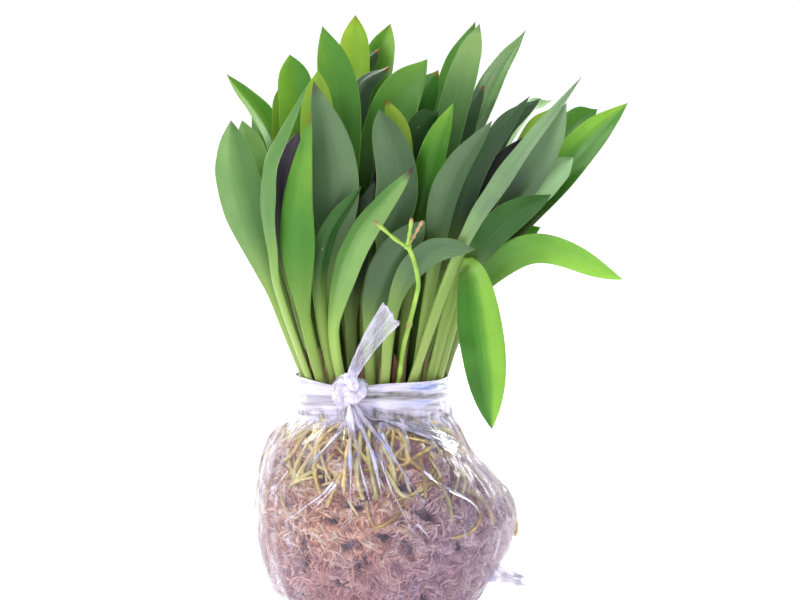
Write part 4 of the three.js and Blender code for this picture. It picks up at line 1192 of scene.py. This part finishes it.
def make_film():
    # a sheet wound round the ball, from a quarter turn, at the back, to a little past it
    columns, wall, neck = 360, 110, 44
    turns = np.linspace(0.23, 1.27, columns)
    lap = 0.5 * step(1.235, 1.25, turns)
    rise = np.linspace(0, 1, wall)
    grid_turns, grid_rise = np.meshgrid(turns, rise)
    angle = 2 * np.pi * grid_turns
    gather = np.sin(23 * angle + 2 * np.sin(3 * angle))
    gather = gather + 0.7 * np.sin(41 * angle + 1.3) + 0.5 * np.sin(67 * angle)
    gather = gather * 0.45 * step(0.5, 0.95, grid_rise)
    flat = ball_point(grid_turns, grid_rise, 0)
    crumple = 0.4 * waves(flat, 16, 51) + 0.2 * waves(flat, 6, 52)
    crumple = crumple * step(0, 0.06, grid_rise)
    walls = film_surface(grid_turns, grid_rise, gather + crumple + lap)
    walls[0, :, 2] = 0.1
    rim = np.abs(np.cos(angle)) ** 6
    haze = 0.13 + 0.08 * np.clip(np.cos(angle), 0, 1)
    haze = haze + 0.3 * np.clip(gather, 0, 1) * step(0.55, 1, grid_rise)
    haze = haze + rim * np.where(np.cos(angle) < 0, 0.34, 0.16)
    haze = haze + 0.55 * step(0.86, 1, grid_rise) + 0.22 * step(0.0, 0.3, lap)[None, :]
    ridge = waves(flat * np.array([1, 1, 0.35]), 9, 53)
    haze = haze + 0.35 * np.clip(1 - np.abs(ridge) * 9, 0, 1) * step(0.0, 0.8, waves(flat, 30, 54))

    t = np.linspace(0, 1, neck + 1)[1:]
    up = through([walls[-1, :, 2].mean(), 97, 100, 103, 106, NECK_TOP], t)
    x, y = crown_rim(turns, NECK_WIDE + lap, NECK_DEEP + lap)
    ring = np.stack([x, y], -1)
    shift = step(0, 0.3, t)[:, None, None]
    band = mix(walls[-1][None, :, :2], ring[None], shift)
    around = 2 * np.pi * turns
    upright = up[:, None] + 0.9 * np.sin(2 * around + 1.0)[None, :] * step(0.5, 1, t)[:, None]
    # the band's creases run level and close up towards the knot
    knot_at = np.exp(-((np.mod(turns - 0.7 + 0.5, 1) - 0.5) ** 2) / 0.004)
    upright = mix(upright, 102.5 + (upright - 102.5) * 0.62, knot_at[None, :])
    heights = up[:, None, None] + 0 * band[..., :1]
    spots = np.concatenate([np.broadcast_to(ring[None], band.shape), heights], -1)
    lines = waves(spots * np.array([0.1, 0.1, 1.0]), 2.4, 55)
    lines = lines + 0.6 * waves(spots * np.array([0.16, 0.16, 1.0]), 1.3, 56)
    normal = unit(np.stack([x - CROWN_X, y], -1))[None]
    band = band + normal * (0.3 * lines * step(0, 0.3, t)[:, None])[..., None]
    necks = np.concatenate([band, upright[..., None]], -1)
    left = step(-0.1, 0.5, -np.cos(around)) * step(-0.3, 0.2, -np.sin(around))
    neck_haze = (0.5 + 0.35 * left)[None, :] * step(0, 0.3, t)[:, None] + 0.24 + 0.14 * lines
    neck_haze = neck_haze + 0.3 * step(0.9, 1, t)[:, None] + 0.35 * (1 - step(0.1, 0.45, t))[:, None]
    points = np.concatenate([walls.reshape(-1, 3), necks.reshape(-1, 3), [[0, 0, 0.1]]])
    level = np.concatenate([np.zeros(haze.size), np.repeat(step(0, 0.2, t), columns), [0]])
    haze = np.concatenate([haze.ravel(), np.clip(neck_haze, 0.1, 1).ravel(), [0.05]])
    rows = wall + neck
    first = np.arange(columns - 1)
    fan = np.stack([np.full(columns - 1, len(points) - 1), first + 1, first], -1)
    faces = [grid_faces(rows, columns), fan]
    marks = {"haze": haze, "level": level}
    look = film_look("film", 0.0, 0.9)
    bag = make_piece("film_bag_skin", points, faces, look, ["film_bag"], marks)

    extras = [make_knot(), make_tail(), make_folds(), make_scrap()]


KNOT = seen(*KNOT_SEEN)


def make_knot():
    """A tight half hitch: thick twists of crumpled film wound round each other."""
    steps, sides = 200, 28
    t = np.linspace(0, 2 * np.pi, steps, endpoint=False)
    ring = 3.2 + 1.4 * np.cos(3 * t)
    path = np.stack([1.15 * ring * np.cos(2 * t), 1.9 * np.sin(3 * t), ring * np.sin(2 * t)], -1)
    along = unit(np.roll(path, -1, 0) - np.roll(path, 1, 0))
    side = unit(np.cross(along, np.array([0.3, 1.0, 0.2])))
    up = np.cross(side, along)
    turn = 2 * np.pi * np.arange(sides) / sides
    radius = 3.0 + 0.35 * np.sin(7 * t)
    twist = turn[None, :] + 1.5 * t[:, None]
    fluted = 1 + 0.07 * np.sin(5 * twist) + 0.06 * np.sin(9 * twist + 1)
    reach = radius[:, None] * fluted
    points = path[:, None] + side[:, None] * (reach * np.cos(turn))[..., None]
    points = points + up[:, None] * (reach * np.sin(turn))[..., None]
    crease = np.abs(waves(points, 4.5, 61))
    points = points + unit(points) * (0.4 - 0.7 * np.exp(-4 * crease))[..., None] + KNOT
    i = np.arange(steps)[:, None]
    j = np.arange(sides)[None, :]
    k, m = (j + 1) % sides, (i + 1) % steps
    faces = np.stack([i * sides + j, i * sides + k, m * sides + k, m * sides + j], -1).reshape(-1, 4)
    haze = np.clip(0.92 - 0.6 * np.exp(-4 * crease) + 0.16 * waves(points, 2.5, 62), 0.25, 1).ravel()
    points = points.reshape(-1, 3)
    look = film_look("film_knot", 0.4, 0.97)
    return make_piece("film_knot", points, outward(points, [faces]), look, (), {"haze": haze})


TAIL = [(-19, 103, 0), (-14, 114, -4), (-7, 126, -8), (2, 138, -11)]


def make_tail():
    """The end of the film above the knot: pleated, opened like a fan, and torn."""
    points = np.array([seen(right, up, KNOT[1] - 1 + forward) for right, up, forward in TAIL])
    rows, columns = 60, 41
    at = np.linspace(0, 1, rows)
    middle = through(points, at)
    along = unit(through(points, at + 0.02) - through(points, at - 0.02))
    along[-1] = along[-2]
    side = unit(np.cross(along, np.array([0.0, -1.0, 0.0])))
    up = np.cross(side, along)
    u = np.linspace(-1, 1, columns)
    half = mix(1.9, 6.0, at**1.3)
    torn = np.where(u < 0, 1.2 * np.abs(u) ** 1.5, -2.4 * u)
    torn = torn - 0.9 * np.exp(-(((u - 0.35) / 0.2) ** 2)) + 0.4 * np.sin(9 * u)
    parts = []
    for layer in (1, -1):
        pleats = 0.6 * np.sin(7 * u + layer) + 0.35 * np.sin(15 * u + 2 * layer) + layer * 0.9
        height = pleats[None, :] * mix(0.9, 1.0, at)[:, None] * (1 - 0.3 * np.abs(u) ** 4)
        grid = (
            middle[:, None]
            + side[:, None] * (half[:, None] * u[None, :])[..., None]
            + up[:, None] * height[..., None]
            + along[:, None] * (torn[None, :] * at[:, None] ** 4)[..., None]
        )
        grid = grid + 0.15 * waves(grid, 4, 63 + layer)[..., None]
        crease = np.exp(-((np.mod(u * 2.4 + 0.3 * layer, 1) - 0.5) ** 2) / 0.02)
        haze = 0.3 + 0.3 * crease[None, :] + 0.6 * (1 - step(0, 0.4, at))[:, None]
        haze = haze + 0.4 * (np.abs(u) ** 10)[None, :] + 0.25 * (at**14)[:, None] + 0.06 * waves(grid, 9, 70)
        marks = {"haze": np.clip(haze, 0.15, 1).ravel()}
        parts.append((grid.reshape(-1, 3), [grid_faces(rows, columns)], marks))
    points, faces, marks = join_shells(parts)
    return make_piece("film_tail", points, faces, film_look("film_tail", 0.12, 0.85), (), marks)


# Stretched folds of film as seen, right and up, with a half width at each end, and how white they are
FOLDS = [
    ([(-17.5, 95), (-17.5, 78), (-17.5, 63), (-16.5, 41)], 1.6, 0.5, 0.75),
    ([(-15.6, 95), (-12, 85), (-7, 72), (-4, 59), (-1, 43)], 2.0, 0.35, 0.95),
    ([(-17, 92.5), (-13, 68), (-8, 50), (-6, 40)], 1.0, 0.3, 0.6),
    ([(-12, 91.5), (-2.5, 78.5), (5, 68), (14, 54), (22, 46.5)], 1.3, 0.35, 0.6),
    ([(-3, 83), (3, 71), (7, 67)], 0.9, 0.5, 0.9),
    ([(16.5, 65), (26, 58), (40, 50), (44.5, 42)], 0.6, 0.7, 0.85),
    ([(-3, 70), (1, 58), (9, 42), (15, 32.5)], 0.45, 0.55, 0.7),
    ([(14, 40), (21, 32.5)], 0.5, 0.6, 0.8),
    ([(-22, 83), (-30, 75), (-37, 67)], 0.5, 0.6, 0.8),
    ([(-21, 84.5), (-31, 74), (-36.5, 68.5)], 0.4, 0.4, 0.7),
    ([(-25, 60), (-32, 53), (-40, 47), (-48, 41)], 0.6, 0.5, 0.85),
    ([(-24, 58.5), (-31, 51), (-35, 47)], 0.7, 0.4, 0.75),
    ([(-46.5, 65), (-51, 59), (-54, 50)], 0.5, 0.4, 0.7),
    ([(-19, 94), (-30, 90), (-42, 84)], 1.0, 0.4, 0.35),
    ([(-18, 93), (-28, 86), (-38, 78)], 0.9, 0.3, 0.3),
    ([(-15, 94), (-9, 76), (-3, 60), (4, 46)], 0.7, 0.3, 0.5),
    ([(-19, 92), (-21, 78), (-24, 62)], 0.8, 0.25, 0.35),
]
# The broad hazy fold over the right shoulder, in strands side by side
BROAD = [(-13, 98), (-2.5, 91), (9.5, 86), (22, 81.5), (33, 75)]
FOLD_SIDES = 10


def make_folds():
    rng = np.random.default_rng(5)
    rows = 44
    t = np.linspace(0, 1, rows)
    around = 2 * np.pi * np.arange(FOLD_SIDES) / FOLD_SIDES
    parts = []

    def lay(marks, wide, narrow, white, lift, ends=0.9):
        spots = np.array([over_ball(right, up, FILM_HIGH_GAP + 1) for right, up in marks])
        line = through(spots, t)
        turns, rise = line[:, 0], np.clip(line[:, 1], 0.03, 1)
        sag = 0.12 * np.sin(t * rng.uniform(9, 16) + rng.uniform(0, 6))
        path = film_surface(turns + sag / 300, rise, lift)
        normal = unit(film_surface(turns, rise, lift + 1) - path)
        right, up = marks[0]
        if abs(right + 16) + abs(up - 95) < 9:
            path = mix(KNOT[None] + np.array([0, -1.0, -2.5]), path, step(0, 0.14, t)[:, None])
        radius = mix(wide, narrow, t**0.8) * (1 + 0.3 * np.sin(t * rng.uniform(8, 20))) * (1 - ends * t**9)
        made, faces = tubes(path[None], radius[None], normal[None], FOLD_SIDES, 0.35)
        # Partly the film's own whitening and partly painted highlight: each fold is whitest along its middle
        # and clear at its edges
        haze = white * (1 - 0.45 * t) * (1 + 0.35 * np.sin(t * rng.uniform(10, 25) + 1)) * (1 - 0.8 * t**6)
        haze = haze[:, None] * (0.15 + 0.85 * np.abs(np.sin(around)) ** 2.5)
        parts.append((made, outward(made, faces), {"haze": np.clip(haze, 0, 1).ravel()}))

    for marks, wide, narrow, white in FOLDS:
        lay(marks, wide, narrow, white, 0.3)
    for k in range(11):
        spread = (k - 5) / 5
        marks = [
            (right + 0.5 * spread * (i > 0), up + spread * (0.7 + 0.6 * i) + 0.3 * math.sin(3 * k + i))
            for i, (right, up) in enumerate(BROAD)
        ]
        lay(marks, 1.1, 1.0, rng.uniform(0.4, 0.75), 0.35 + 0.1 * (k % 3), 0.95)
    points, faces, marks = join_shells(parts)
    return make_piece("film_folds", points, faces, film_look("film_folds", 0.0, 0.95), (), marks)


def make_scrap():
    """The bag's lower corner on the right, which sticks out with a little moss on it."""
    rows, columns = 26, 22
    t = np.linspace(0, 1, rows)[:, None]
    u = np.linspace(-1, 1, columns)[None, :]
    half = mix(7.5, 2.2, t**0.7) * (1 + 0.12 * np.sin(9 * t))
    x = 41 + 20.5 * t + 0 * u + 0.9 * np.sin(4 * u + 5 * t) * t
    z = 22 - 6.5 * t + half * u
    y = -11 - 3 * t + 1.3 * np.sin(3.4 * u + 2 * t) * (0.4 + t)
    points = np.stack([x, y, z], -1)
    points = points + 0.4 * waves(points, 6, 81)[..., None]
    haze = 0.8 + 0.25 * np.abs(u) ** 6 + 0.25 * t**5 + 0.2 * waves(points, 5, 82)
    marks = {"haze": np.clip(haze, 0.1, 1).ravel()}
    look = film_look("film_scrap", 0.45, 0.97)
    return make_piece("film_scrap", points, [grid_faces(rows, columns)], look, (), marks)


set_the_stage()
FEET = stand_stems()
make_leaves(FEET)
make_stalk()
make_moss()
make_roots(FEET)
make_sheaths(FEET)
make_film()
